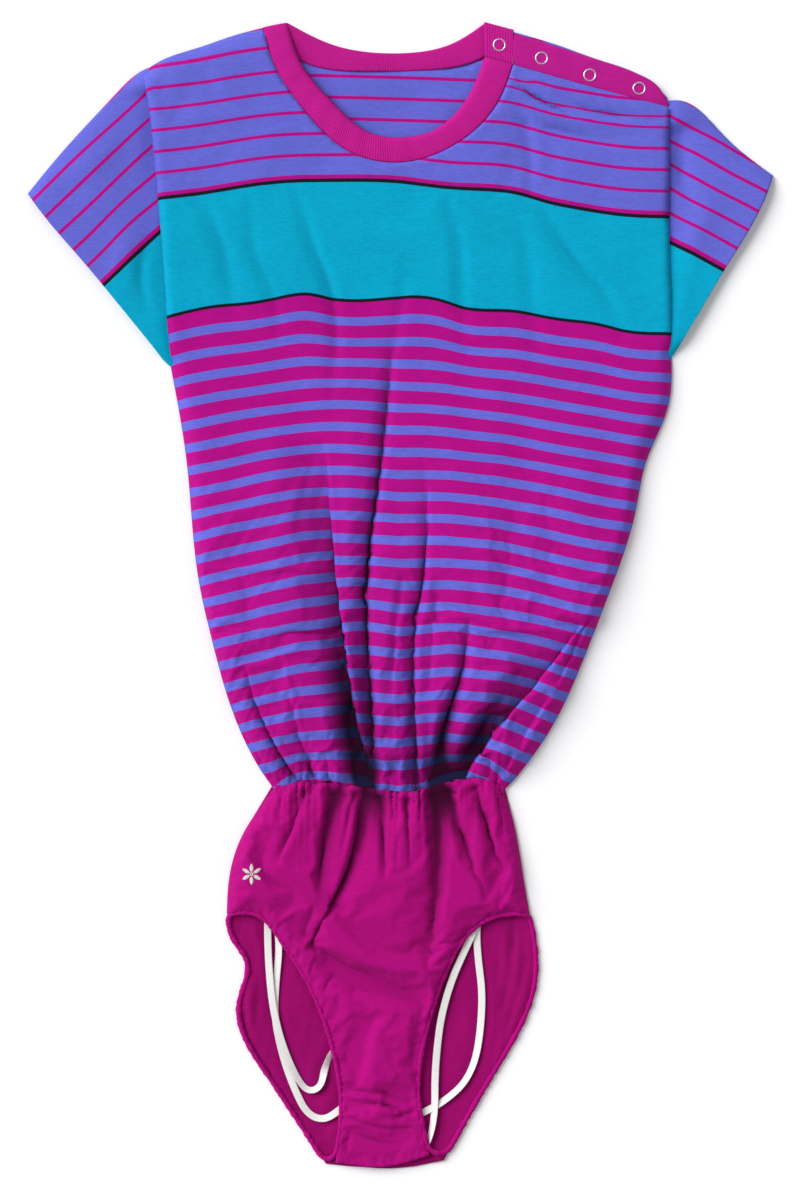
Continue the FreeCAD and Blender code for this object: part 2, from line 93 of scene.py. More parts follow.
LEFT_ROUTE = (
    (62, -172, 1.4), (66, -205, 2.2), (69, -240, 3.0), (64, -274, 3.0), (52, -299, 3.0), (42, -322, 3.0),
    (34, -350, 3.0), (30.5, -376, 3.0), (28.5, -403, 3.0), (28.7, -429, 3.0), (25, -452, 2.8),
    (16, -465, 2.5), (4, -466, 2.4), (-5, -457, 2.3), (-3, -444, 2.2), (9, -435, 2.1), (24, -429, 2.0),
    (40, -419, 1.8), (54, -406, 1.6), (63, -386, 1.5), (67, -358, 1.5), (68, -330, 1.5),
    (64.5, -304, 1.5), (63, -280, 1.5), (66, -250, 1.5), (74, -212, 1.5), (77, -172, 1.4),
)


def mesh_object(name, points, faces, values=None):
    """An object from points, with named numbers kept on its points."""
    mesh = bpy.data.meshes.new(name)
    mesh.from_pydata((np.asarray(points, float) * MM).tolist(), [], [list(map(int, f)) for f in faces])
    for key, numbers in (values or {}).items():
        layer = mesh.attributes.new(key, "FLOAT", "POINT")
        layer.data.foreach_set("value", np.asarray(numbers, np.float32))
    mesh.validate()
    mesh.update()
    mesh.shade_smooth()
    piece = bpy.data.objects.new(name, mesh)
    bpy.context.scene.collection.objects.link(piece)
    return piece


def lengths(line):
    """Distance along a line at each of its places."""
    return np.concatenate([[0.0], np.cumsum(np.linalg.norm(np.diff(line, axis=0), axis=1))])


def sweep_faces(count, section, closed):
    """Faces of a tube whose points come ring by ring; an open one gets flat ends."""
    faces = []
    for i in range(count if closed else count - 1):
        a, b = i * section, ((i + 1) % count) * section
        faces += [(a + (k + 1) % section, a + k, b + k, b + (k + 1) % section) for k in range(section)]
    if not closed:
        faces.append(tuple(range(section)))
        faces.append(tuple((count - 1) * section + k for k in range(section))[::-1])
    return faces


def tape(side_name, route):
    """A flat woven tape that follows a smooth NURBS line through its route."""
    guide = bpy.data.curves.new(side_name + "_guide", "CURVE")
    guide.dimensions = "3D"
    guide.resolution_u = 8
    line = guide.splines.new("NURBS")
    line.points.add(len(route) - 1)
    for point, (x, y, z) in zip(line.points, route):
        point.co = (x * MM, y * MM, (z + TAPE_LIFT) * MM, 1.0)
    line.order_u = 3
    line.use_endpoint_u = True
    holder = bpy.data.objects.new(side_name + "_guide", guide)
    bpy.context.scene.collection.objects.link(holder)
    read = bpy.data.meshes.new_from_object(holder)
    path = np.array([v.co[:] for v in read.vertices]) / MM
    bpy.data.objects.remove(holder)
    bpy.data.meshes.remove(read)
    along = lengths(path)
    heading = np.gradient(path, axis=0)
    heading /= np.linalg.norm(heading, axis=1)[:, None]
    side = np.cross(heading, (0.0, 0.0, 1.0))
    side /= np.linalg.norm(side, axis=1)[:, None]
    up = np.cross(side, heading)
    turning = np.gradient(np.unwrap(np.arctan2(heading[:, 1], heading[:, 0]))) / np.gradient(along)
    for _ in range(60):
        turning[1:-1] = (turning[:-2] + 2 * turning[1:-1] + turning[2:]) / 4
    # it wanders, and turns on edge where it bends
    lean = 0.35 * np.sin(along / 37.0) * np.sin(along / 91.0 + 1.0) + 0.75 * np.tanh(turning / 0.035)
    # under the front of the brief there is no room for it to stand on edge
    covered = np.clip((path[:, 0] + 62) / 10, 0, 1) * np.clip((26 - path[:, 0]) / 10, 0, 1)
    lean = lean * (1 - 0.8 * covered)
    wide = side * np.cos(lean)[:, None] + up * np.sin(lean)[:, None]
    thick = up * np.cos(lean)[:, None] - side * np.sin(lean)[:, None]
    rings = []
    for turn in 2 * math.pi * np.arange(TAPE_SECTION) / TAPE_SECTION:
        across = math.cos(turn) * TAPE_WIDTH / 2
        rise = math.copysign(abs(math.sin(turn)) ** 0.3, math.sin(turn)) * TAPE_THICKNESS / 2
        rings.append(path + wide * across + thick * rise)
    values = {
        "along": np.repeat(along, TAPE_SECTION),
        "across": np.tile(np.cos(2 * math.pi * np.arange(TAPE_SECTION) / TAPE_SECTION), len(path)),
    }
    count, faces = len(path), []
    for i in range(count - 1):
        a, b = i * TAPE_SECTION, (i + 1) * TAPE_SECTION
        for k in range(TAPE_SECTION):
            after = (k + 1) % TAPE_SECTION
            faces.append((a + k, a + after, b + after, b + k))
    faces.append(tuple(range(TAPE_SECTION))[::-1])
    faces.append(tuple((count - 1) * TAPE_SECTION + k for k in range(TAPE_SECTION)))
    piece = mesh_object(side_name + "_hanger_tape", np.stack(rings, axis=1).reshape(-1, 3), faces, values)
    stand_in(piece, side_name + "_hanger_loop", "brief")
    return piece


right_tape = tape("right", RIGHT_ROUTE)
left_tape = tape("left", LEFT_ROUTE)


# ---------------------------------------------------------------- lines and sheets

def resample(line, count):
    """A number of even places along a line, and the distance to each of them."""
    t = np.linspace(0, lengths(line)[-1], count)
    return np.stack([np.interp(t, lengths(line), column) for column in line.T], axis=1), t


def smooth(places, step=3.0):
    """A natural cubic spline through the places, in even steps."""
    p = np.array(places, float)
    t = lengths(p)
    if len(p) > 2:
        gap = np.diff(t)
        system = np.eye(len(p))
        bend = np.zeros_like(p)
        for i in range(1, len(p) - 1):
            system[i, i - 1:i + 2] = gap[i - 1], 2 * (gap[i - 1] + gap[i]), gap[i]
            bend[i] = 6 * ((p[i + 1] - p[i]) / gap[i] - (p[i] - p[i - 1]) / gap[i - 1])
        m = np.linalg.solve(system, bend)
        s = np.linspace(0, t[-1], 24 * len(p))
        k = np.clip(np.searchsorted(t, s, side="right") - 1, 0, len(p) - 2)
        a = ((t[k + 1] - s) / gap[k])[:, None]
        b = 1 - a
        curved = ((a**3 - a) * m[k] + (b**3 - b) * m[k + 1]) * (gap[k] ** 2)[:, None] / 6
        p = a * p[k] + b * p[k + 1] + curved
    return resample(p, max(2, round(lengths(p)[-1] / step) + 1))[0]


def chain(*edges):
    """One closed loop from edges that join end to end."""
    return np.concatenate([edge[:-1] for edge in edges])


def nearest(line, x, y):
    """Distance to a line, the side of it (+1 left of a line that runs up), and the share of the way along."""
    a, d = line[:-1], np.diff(line, axis=0)
    size = np.hypot(d[:, 0], d[:, 1])
    start = np.concatenate([[0.0], np.cumsum(size)])
    best = np.full(x.shape, 1e9)
    side = np.ones(x.shape)
    share = np.zeros(x.shape)
    for i in range(len(a)):
        t = np.clip(((x - a[i, 0]) * d[i, 0] + (y - a[i, 1]) * d[i, 1]) / size[i] ** 2, 0, 1)
        dx = x - a[i, 0] - t * d[i, 0]
        dy = y - a[i, 1] - t * d[i, 1]
        far = np.hypot(dx, dy)
        closer = far < best
        best = np.where(closer, far, best)
        side = np.where(closer, np.sign(d[i, 0] * dy - d[i, 1] * dx), side)
        share = np.where(closer, (start[i] + t * size[i]) / start[-1], share)
    return best, side, share


def distance(x, y, *lines):
    """Distance to the nearest of some lines."""
    return np.minimum.reduce([nearest(line, x, y)[0] for line in lines])


def inside(loop, x, y):
    """Whether each place lies inside a closed loop."""
    result = np.zeros(x.shape, bool)
    after = np.roll(loop, -1, axis=0)
    for (ax, ay), (bx, by) in zip(loop, after):
        if ay == by:
            continue
        crosses = (ay > y) != (by > y)
        result ^= crosses & (x < (bx - ax) * (y - ay) / (by - ay) + ax)
    return result


def net(loop, row_step, column_step):
    """Points and triangles that fill a loop, with steps that depend on Y."""
    lowest, highest = loop[:, 1].min(), loop[:, 1].max()
    left, right = loop[:, 0].min(), loop[:, 0].max()
    places = []
    y = lowest + row_step(lowest) * 0.7
    odd = False
    while y < highest:
        step = column_step(y)
        row = np.arange(left + (step / 2 if odd else 0.0), right, step)
        places.append(np.stack([row, np.full(row.shape, y)], axis=1))
        y += row_step(y)
        odd = not odd
    places = np.concatenate(places)
    x, y = places.T
    gap = distance(x, y, np.concatenate([loop, loop[:1]]))
    wanted = inside(loop, x, y) & (gap > 0.55 * np.array([column_step(v) for v in y]))
    points = [Vector(p) for p in loop] + [Vector(p) for p in places[wanted]]
    rim = [(i, (i + 1) % len(loop)) for i in range(len(loop))]
    found, _, faces, *_ = delaunay_2d_cdt(points, rim, [], 1, 1e-5)
    return np.array([v[:] for v in found]), np.array([f[:3] for f in faces])


def grid_faces(rows, columns, closed=False):
    """Quads of a grid with its points in rows; closed joins the last row to the first."""
    faces = []
    for i in range(rows if closed else rows - 1):
        for j in range(columns - 1):
            a, b = i * columns + j, ((i + 1) % rows) * columns + j
            faces.append((a, a + 1, b + 1, b))
    return faces


def point_normals(points, faces):
    """The direction square to the surface at each of its points."""
    faces = np.asarray(faces)
    a, b, c = points[faces[:, 0]], points[faces[:, 1]], points[faces[:, 2]]
    flat = np.cross(b - a, c - a)
    if faces.shape[1] == 4:
        flat = np.cross(c - a, points[faces[:, 3]] - b)
    total = np.zeros_like(points)
    for k in range(faces.shape[1]):
        np.add.at(total, faces[:, k], flat)
    return total / np.maximum(np.linalg.norm(total, axis=1), 1e-12)[:, None]


def face_up(points, faces):
    return faces if point_normals(points, faces)[:, 2].sum() > 0 else faces[:, ::-1]


def cloth_piece(name, points, faces, values=None, thickness=CLOTH):
    """A closed sheet of that thickness around a surface."""
    faces = np.asarray(faces)
    normal = point_normals(points, faces)
    count = len(points)
    both = np.concatenate([points + normal * thickness / 2, points - normal * thickness / 2])
    rim = {}
    for face in faces:
        for a, b in zip(face, np.roll(face, -1)):
            if (b, a) in rim:
                del rim[(b, a)]
            else:
                rim[(a, b)] = True
    skin = [tuple(f) for f in faces] + [tuple(f[::-1] + count) for f in faces]
    skin += [(b, a, a + count, b + count) for a, b in rim]
    doubled = {key: np.tile(numbers, 2) for key, numbers in (values or {}).items()}
    return mesh_object(name, both, skin, doubled)


def hollows(points, faces, passes):
    """How far each point lies below the smoothed surface round it, which sets the painted shade in hollows.
    """
    edges = np.concatenate([faces[:, [0, 1]], faces[:, [1, 2]], faces[:, [2, 0]]])
    edges = np.unique(np.sort(edges, axis=1), axis=0)
    count = np.bincount(edges.ravel(), minlength=len(points))
    soft = points[:, 2].copy()
    for _ in range(passes):
        total = np.bincount(edges[:, 0], soft[edges[:, 1]], len(points))
        total += np.bincount(edges[:, 1], soft[edges[:, 0]], len(points))
        soft = 0.3 * soft + 0.7 * total / count
    return soft - points[:, 2]


def ripples(x, y, wave, seed, stretch=1.0):
    """Smooth irregular waves between about -1 and 1."""
    rng = np.random.default_rng(seed)
    total = np.zeros(np.shape(x))
    waves = 8
    for _ in range(waves):
        angle = rng.uniform(0, math.pi)
        pace = 2 * math.pi / (wave * rng.uniform(0.7, 1.5))
        across = x * math.cos(angle) + y / stretch * math.sin(angle)
        total = total + np.sin(pace * across + rng.uniform(0, 6.28))
    return total / math.sqrt(2 * waves)


def gathers(x, wave, seed):
    """Pleats along X: round tops and sharp valleys, of uneven width, from 0 to 1."""
    rng = np.random.default_rng(seed)
    warped = x.astype(float)
    for _ in range(4):
        size = wave * rng.uniform(1.8, 4.5)
        warped = warped + 0.13 * size * np.sin(2 * math.pi * x / size + rng.uniform(0, 6.28))
    height = np.abs(np.sin(math.pi * warped / wave)) ** 0.8
    uneven = 0.7 + 0.3 * np.sin(warped / wave * 1.7 + rng.uniform(0, 6.28))
    return height * uneven


def ease(share):
    share = np.clip(share, 0, 1)
    return share * share * (3 - 2 * share)


def crease(x, y, line, depth, left, right, power):
    """A fold that deepens along its line, drawn from its faint end; left and right are its widths."""
    far, side, share = nearest(smooth(line, 6.0), x, y)
    broad = left > 15  # the wedges: flat in the middle, and widest on the left at their faint end
    spread = np.where((side <= 0) & broad, 1.3 - 0.35 * share, 0.6 + 0.4 * share)
    width = np.where(side > 0, right, left) * spread
    steep = 2.4 if broad else 1.6
    return -depth * share**power * np.exp(-((far / width) ** steep))


def bump(x, y, line, height, width):
    """A soft ridge or, with a negative height, hollow that fades at both ends of its line."""
    far, _, share = nearest(smooth(line, 8.0), x, y)
    return height * np.sin(math.pi * np.clip(share, 0.02, 0.98)) * np.exp(-((far / width) ** 2))


SIM_SCALE = 5.0  # the simulation runs on a larger copy, where its steps are finer


LONGEST_SHIFT = 6.0


def settle(points, faces, hold, frames, growth, bend=0.4):
    """Lets cloth that is a little too large for its edges buckle; hold is how firmly each point stays."""
    mesh = bpy.data.meshes.new("settling")
    mesh.from_pydata((points * MM * SIM_SCALE).tolist(), [], [list(map(int, f)) for f in faces])
    mesh.update()
    piece = bpy.data.objects.new("settling", mesh)
    bpy.context.scene.collection.objects.link(piece)
    group = piece.vertex_groups.new(name="hold")
    for level in np.unique(hold):
        if level > 0:
            group.add([int(i) for i in np.nonzero(hold == level)[0]], float(level), "REPLACE")
    cloth = piece.modifiers.new("settling", "CLOTH")
    rule = cloth.settings
    rule.quality = 6
    rule.mass = 0.25
    rule.tension_stiffness = rule.compression_stiffness = 15.0
    rule.shear_stiffness = 4.5
    rule.bending_stiffness = bend
    rule.tension_damping = rule.compression_damping = 8.0
    rule.bending_damping = 0.8
    rule.air_damping = 3.0
    rule.vertex_group_mass = "hold"
    rule.pin_stiffness = 0.6
    rule.shrink_min = -growth
    rule.effector_weights.gravity = 0.0
    cloth.collision_settings.use_collision = False
    cloth.point_cache.frame_start = 1
    cloth.point_cache.frame_end = frames
    scene = bpy.context.scene
    for step in range(1, frames + 1):
        scene.frame_set(step)
    seen = piece.evaluated_get(bpy.context.evaluated_depsgraph_get())
    moved = np.array([v.co[:] for v in seen.data.vertices]) / MM / SIM_SCALE
    bpy.data.objects.remove(piece)
    scene.frame_set(1)
    shift = moved - points
    size = np.linalg.norm(shift, axis=1)
    return points + shift * np.minimum(1.0, LONGEST_SHIFT / np.maximum(size, 1e-9))[:, None]


# ---------------------------------------------------------------- outlines

RIGHT_SIDE = smooth([(-104, -159.3), (-119, -140), (-137, -104), (-156, -40), (-168, 15), (-177, 106),
                     (-191, 190)])
LEFT_SIDE = smooth([(225, 197), (222, 155), (204, 110), (195, 68), (173, 0), (146, -70), (110, -134),
                    (86, -159.3)])
RIGHT_ARMHOLE = smooth([(-191, 190), (-194.5, 243), (-201, 327), (-205.5, 374), (-208.5, 402), (-214, 433)])
LEFT_ARMHOLE = smooth([(222, 403), (223, 360), (223, 300), (225, 240), (225, 197)])
RIGHT_SHOULDER = smooth([(-214, 433), (-200, 442), (-166, 454), (-140, 463), (-114, 470)])
NECK_SEAM = smooth([(-114, 470), (-107, 444), (-79, 399), (-43, 366), (2, 357), (44, 371), (80, 405),
                    (93.5, 438.3)])
NECK_EDGE = smooth([(-94, 474), (-84, 442), (-56, 407), (-23, 381), (0, 378), (23, 382), (55, 410),
                    (70, 444.8)])
NECK_SEAM_BACK = smooth([(-114, 470), (-84, 443), (-33, 434), (20, 435), (70, 446), (94, 466)])
NECK_EDGE_BACK = smooth([(-94, 474), (-56, 456), (0, 449), (43, 457), (70, 474)])
BACK_LEFT_SHOULDER = smooth([(94, 466), (127, 456.8), (165, 443.2), (184, 437.2), (203, 429), (222, 412)])
FLAP_SEAM = smooth([(93.5, 438.3), (136, 426), (180, 414), (222, 403)])
PLACKET_EDGE = smooth([(93.5, 465), (127, 454.6), (165, 442.4), (195, 431.8), (212, 422), (222, 407)])
WAIST = smooth([(86, -159.3), (-104, -159.3)])

RIGHT_HIP = smooth([(-106, BRIEF_TOP), (-119, -180), (-133, -205), (-142, -236), (-144, -266)])
LEFT_HIP = smooth([(107, -266), (102, -236), (96, -200), (86, BRIEF_TOP)])
RIGHT_LEG = smooth([(-144, -266), (-119, -266), (-100, -286), (-76, -324), (-57, -374), (-49, -425),
                    (-54, -472)])
LEFT_LEG = smooth([(24, -466), (14.5, -415), (22, -360), (39, -310), (60, -278), (86, -266), (107, -266)])
RIGHT_LEG_BACK = smooth([(-144, -266), (-140, -286), (-127, -306), (-134, -338), (-112, -398),
                         (-90, -431), (-62, -474)])
LEFT_LEG_BACK = smooth([(36, -471), (62, -424), (86, -384), (111, -328), (112, -293), (107, -266)])
CROTCH = smooth([(-54, -472), (-15, -476), (24, -466)])
CROTCH_BACK = smooth([(-62, -474), (-30, -477), (4, -477), (36, -471)])
BRIEF_WAIST = smooth([(86, BRIEF_TOP), (-106, BRIEF_TOP)])


# ---------------------------------------------------------------- the striped cloth

# height of the chest band on the cloth
BAND = 95.0
# the black lines of the chest band, and the lower one without its small steps
UPPER_LINE = ((-201, 327.4), (-163, 331.7), (-131, 337), (-99, 340.8), (-50, 342.3), (0, 341), (42, 336),
              (97, 331.5), (108, 328.5), (118, 325.3), (148, 319), (190, 313.1), (221, 312.2))
LOWER_LINE = ((-193, 229), (-152, 238), (-121, 241), (-93, 246.6), (-77, 248), (-60, 244.6), (0, 245),
              (14, 245.6), (34, 242.6), (53, 236.6), (93, 233.9), (127, 227.9), (165, 222.6),
              (182, 218.2), (223, 215.2))
LOWER_CALM = ((-193, 229), (-150, 237), (-105, 243), (-60, 247), (0, 244.5), (90, 234), (165, 222.5),
              (223, 215))
STRIPE_PITCH = 18.4
PITCH_ALONG = ((-166, 18.76), (-125, 18.5), (-83, 18.2), (0, 18.4), (41, 18.0), (83, 17.9), (124, 18.1),
               (199, 18.5))

LEFT_WEDGE = ((-64, 130), (-60, 83), (-55, 30), (-46, -49), (-37, -102), (-22, -158))
RIGHT_OVERLAP = ((150, -24), (118, -68), (97, -94), (74, -124), (56, -158))
RIGHT_TUCK_TOP = 418.0
LEFT_TUCK_TOP = 389.0
SEAM_WAVE = ((-104, -4), (-94, 0), (-50, 0.5), (-28, -2.5), (-7, -5), (12, -5), (30, 0), (54, 5),
             (70, 5), (87, -5))


def line_height(x, line):
    fine = smooth(line, 4.0)
    return np.interp(x, fine[:, 0], fine[:, 1])


def shoulder_take_up(x, rise):
    """Cloth that the drag folds under the snap placket hide, by the height above the upper black line."""
    outer = 9.4 * ease((rise - 75) / 8) + 3.2 * ease((rise - 84) / 12)
    inner = 4.4 * ease((rise - 74) / 12) + 12.0 * ease((rise - 87.5) / 6)
    share = ease((x - 100) / 16)
    return (outer * share + inner * (1 - share)) * ease((x - 60) / 15)


def cloth_height(x, y):
    """How far up its own cloth a place on the front or back lies, from the lower black line."""
    lower, upper = line_height(x, LOWER_LINE), line_height(x, UPPER_LINE)
    lower = lower + (line_height(x, LOWER_CALM) - lower) * ease((lower - y) / 90)
    pitch = np.interp(x, *zip(*PITCH_ALONG))
    below = (y - lower) * STRIPE_PITCH / pitch
    band = (y - lower) / (upper - lower) * BAND
    level = np.where(y < lower, below, np.where(y < upper, band, BAND + y - upper))
    far, side, share = nearest(smooth(LEFT_WEDGE, 6.0), x, y)
    jump = np.where(side > 0, -2.5 * np.exp(-far / 18), 6.0 * np.exp(-far / 30)) * ease(share * 1.5)
    level = level - jump * (1 - 0.5 * ease((-60 - y) / 80))
    far, side, share = nearest(smooth(RIGHT_OVERLAP, 6.0), x, y)
    level = level + np.where(side < 0, 0.0, 0.22 * np.minimum(far, 40)) * ease(share * 2.0)
    level = level + shoulder_take_up(x, y - upper)
    level = level - 3.0 * np.exp(-(((x + 2) / 18) ** 2)) * ease((-100 - y) / 50)
    level = level + 2.5 * ease((-203 - x) / 9) * ease((y - 404) / 12)
    level = level - 2.8 * ease((y - 433) / 18) * ease(-x / 30)
    return level + 0.8 * ripples(x, y, 60, 5, 2.0) * np.clip((260 - y) / 200, 0, 1)


def seam_wave(x, away):
    """How far the waist seam and the cloth beside it stand up or down from a straight line."""
    wave = line_height(x, SEAM_WAVE) + 0.5 * np.sin(x / 2.3) * np.exp(-away / 5)
    return wave * np.exp(-((away / 20) ** 2))


def plain_rows(x, y):
    """The back's own stripes, level, a little out of step with the front."""
    return cloth_height(x * 0.2, y + 4.0 + 0.012 * x)


# ---------------------------------------------------------------- front and back of the bodice

FOLDS = (
    # line, depth, left width, right width, power, lean of the right part over the left
    (LEFT_WEDGE, 18.5, 17, 2.6, 0.8, 4.5),
    (((-7, 205), (-12, 149), (-18, 91), (-24, 43), (-27, 4), (-27, -49), (-24, -89),
      (-19, -158)), 13.0, 10.5, 4.6, 0.6, 0.8),
    (((21, 110), (22, 49), (18, 4), (12, -36), (11, -76), (14, -158)), 11.5, 9.0, 3.8, 0.7, 1.0),
    (((58, -20), (48, -76), (40, -102), (34, -129), (32, -158)), 18, 7, 8, 0.7, 0.0),
    (RIGHT_OVERLAP, 15.0, 17, 2.2, 0.5, 5.0),
    (((-128, -60), (-117, -96), (-95, -139), (-84, -158)), 9, 6, 2.4, 0.6, 2.5),
    (((-157, -20), (-150, -60), (-138, -96), (-113, -140), (-98, -158)), 7, 4.5, 2.5, 0.4, 2.0),
    (((-100, -50), (-85, -110), (-70, -158)), 6.5, 5, 3, 0.7, 1.5),
    (((120, -30), (95, -72), (74, -102), (62, -130)), 4, 10, 4, 0.8, 0.0),
    (((3, 20), (-6, -60), (-5, -158)), 4, 6, 4, 0.7, 1.0),
    (((40, 40), (28, -30), (24, -100), (24, -158)), 4, 7, 4, 0.8, 0.0),
    (((165, 0), (130, -75), (98, -125), (78, -158)), 5, 6, 3, 0.7, 1.5),
)
SWELLS = (
    # line, height, width
    (((6, 290), (0, 240), (-8, 190), (-16, 110)), -1.2, 7),
    (((-82, 180), (-80, 90), (-72, -20), (-64, -120)), -2.6, 16),
    (((-95, 160), (-98, 60), (-92, -60), (-75, -140)), 2.2, 14),
    (((-170, 345), (-163, 323), (-150, 291), (-142, 255), (-138, 215)), -2.0, 7),
    (((-126, 335), (-123, 308), (-122, 285), (-108, 250), (-100, 200)), -1.7, 6),
    (((-90, 345), (-82, 320), (-74, 291), (-60, 253), (-55, 210), (-58, 150)), -2.4, 6),
    (((36, 335), (43, 315), (50, 250), (56, 180)), -1.5, 7),
    (((94, 320), (101, 296), (109, 240), (112, 170)), -1.8, 8),
    (((112, 330), (127, 302), (148, 270), (170, 243), (186, 200)), -2.2, 7),
    (((20, 200), (50, 100), (60, 0), (48, -90)), 1.6, 16),
    (((90, 200), (110, 90), (105, 0), (84, -80)), -1.8, 16),
    (((140, 180), (150, 80), (140, 10), (110, -70)), 1.6, 14),
    (((-40, 160), (-42, 60), (-40, -40), (-36, -140)), 1.4, 7),
    (((-10, 120), (-10, 20), (-10, -60), (-12, -150)), 1.6, 8),
    (((104, 400), (150, 380), (200, 378)), -1.0, 7),
    (((-205, 425), (-190, 400), (-170, 392)), -1.6, 8),
)
DRAGS = (
    # line, height, width
    (((84, 426), (96, 421), (108, 414), (122, 406), (139, 399), (156, 395)), -3.0, 3.0),
    (((90, 431), (112, 424), (126, 414), (142, 406)), 0.9, 3.5),
    (((120, 424), (134, 413), (152, 403), (182, 397), (226, 390)), -2.6, 3.4),
    (((96, 408), (122, 399), (150, 391), (190, 388)), 1.0, 4.0),
    (((97, 410), (103, 385), (107, 350), (106, 315)), -1.6, 5.0),
    (((113, 405), (115, 375), (118, 340)), 0.7, 5.0),
    (((86, 400), (100, 392), (128, 386), (160, 380)), -1.3, 4.0),
    (((-196, 428), (-188, 416), (-172, 408), (-160, 406)), -1.2, 4.0),
    (((-176, 440), (-160, 424), (-148, 400)), -1.0, 6.0),
)
# height of the cloth by Y, before its folds
CROWN = ((-158, 11.5), (-130, 16.0), (-90, 18.5), (-30, 18.0), (20, 16.4), (68, 14.4), (110, 12.6),
         (155, 11.2), (204, 10.2), (396, 10.0), (440, 8.6), (470, 7.0))
FRONT_TOP = 20.0


def front_height(x, y):
    """Height of the middle of the front's cloth above the table."""
    arm = distance(x, y, RIGHT_ARMHOLE, LEFT_ARMHOLE)
    seam = distance(x, y, RIGHT_SIDE, LEFT_SIDE, RIGHT_SHOULDER)
    z = np.interp(y, *zip(*CROWN))
    for line, height, width in SWELLS:
        z = z + bump(x, y, line, height, width)
    above = np.maximum(y - WAIST_TOP, 0.0)
    for line, depth, left, right, power, lean in FOLDS:
        fade = 1 - (0.25 if lean > 4 else 0.7) * np.exp(-above / 7)
        z = z + crease(x, y, line, depth, left, right, power) * fade
    z = z + 2.4 * (gathers(x * (1 - above / 500) + 4, 21, 9) - 0.6) * np.exp(-above / 48)
    z = z + 0.45 * ripples(x, y, 46, 11, 2.6) * np.clip((300 - y) / 200, 0.5, 1)
    z = 1.6 + np.maximum(z - 1.6, 0.4) * (1 - 0.92 * np.exp(-((seam / 6.5) ** 1.3)))
    tuck = ease((np.where(x < 0, RIGHT_TUCK_TOP, LEFT_TUCK_TOP) - y) / 10)
    z = z - (0.4 + 4.0 * tuck) * np.exp(-arm / 2.2)
    return np.clip(z, 1.6, FRONT_TOP)


# width and seed, shared by all that is gathered at the waist
WAIST_GATHERS = (8.5, 3)
FINE_GATHERS = (4.7, 8)


def front_detail(x, y):
    """Small gathers at the waist seam, and the drag folds of the snap shoulder."""
    above = np.maximum(y - WAIST_TOP, 0.0)
    side = distance(x, y, RIGHT_SIDE, LEFT_SIDE)
    small = 4.0 * (gathers(x, *WAIST_GATHERS) - 0.6) * np.exp(-above / 12)
    small = small + 2.0 * (gathers(x, *FINE_GATHERS) - 0.6) * np.exp(-above / 6)
    small = (small - 3.0 * np.exp(-above / 1.5)) * np.clip(side / 8, 0, 1)
    return small + sum(bump(x, y, line, height, width) for line, height, width in DRAGS)


DEEPEST_FOLD = 18.5


def fold_depth(x, y, folds):
    """How deep in the folds a place lies: 0 outside them, 1 at the bottom of the deepest; it sets part of the
    painted shade in the folds.
    """
    return -sum(crease(x, y, line, depth, 1.2 * left, 1.2 * right, 1.35 * power)
                for line, depth, left, right, power, *_ in folds) / DEEPEST_FOLD


def lean_over(x, y):
    """How far the cloth on the right of each fold slides over the cloth on its left."""
    slide = np.zeros(x.shape)
    for line, _, _, right, power, lean in FOLDS:
        far, side, share = nearest(smooth(line, 6.0), x, y)
        lap = lean * share**power * (far / right).clip(0, 1) * np.exp(-far / 11)
        slide = slide + np.where(side > 0, lap, 0.0)
    return slide


def over_casing(past, sides):
    """The least height that hides the waist casing, by the share past it and the distance to the sides."""
    return 6.8 * (1 - ease(past)) * np.clip(sides / 8, 0.2, 1)


loop = chain(RIGHT_SIDE, RIGHT_ARMHOLE, RIGHT_SHOULDER, NECK_SEAM, FLAP_SEAM, LEFT_ARMHOLE, LEFT_SIDE, WAIST)
flat, faces = net(loop, lambda y: np.interp(y, (-160, -20, 160), (2.0, 2.3, 3.4)),
                  lambda y: np.interp(y, (-160, -60, 210), (1.6, 1.8, 3.2)))
x, y = flat.T
shape = np.column_stack([x - lean_over(x, y), y, front_height(x, y)])
rim = distance(x, y, np.concatenate([loop, loop[:1]]))
settled = settle(shape, faces, np.where(rim < 0.5, 1.0, 0.15), frames=16, growth=0.03)
# the chest keeps little of what the simulation does
shape = shape + (settled - shape) * (0.15 + 0.85 * ease((140 - y) / 150))[:, None]
shape[:, 2] += front_detail(x, y)
shape[:, 1] += seam_wave(x, y - WAIST_TOP)
outer = distance(x, y, RIGHT_SIDE, LEFT_SIDE, RIGHT_ARMHOLE, LEFT_ARMHOLE, RIGHT_SHOULDER, NECK_SEAM,
                 FLAP_SEAM)
hides = over_casing((y - WAIST_TOP - 1) / 7, distance(x, y, RIGHT_SIDE, LEFT_SIDE))
least = np.maximum(1.6 + 1.6 * ease((rim - 3) / 12), hides)
shape[:, 2] = np.clip(shape[:, 2], least, FRONT_TOP)
# painted shade: hollow is how deep each point lies in hollows and folds, and the cloth's colour darkens with
# it; it fades out near the rim
hollow = np.maximum.reduce([
    hollows(shape, faces, 160), 2.6 * hollows(shape, faces, 12), 11.5 * fold_depth(x, y, FOLDS)])
front = cloth_piece("front_bodice_cloth", shape, faces,
                    {"level": cloth_height(x, y), "hollow": hollow * ease((outer - 1) / 9)})
stand_in(front, "front_bodice", "bodice")

back_loop = chain(RIGHT_SIDE, RIGHT_ARMHOLE, RIGHT_SHOULDER, NECK_SEAM_BACK, BACK_LEFT_SHOULDER,
                  smooth([(222, 412), (222, 403)]), LEFT_ARMHOLE, LEFT_SIDE, WAIST)
flat, faces = net(back_loop, lambda y: 5.0, lambda y: 5.0)
x, y = flat.T
rest = 0.75 + 0.25 * ripples(x, y, 50, 21) * np.clip((y - 340) / 60, 0, 1)
back = cloth_piece("back_bodice_cloth", np.column_stack([x, y, rest]), faces, {"level": plain_rows(x, y)})
stand_in(back, "back_bodice", "bodice")


# ---------------------------------------------------------------- sleeves

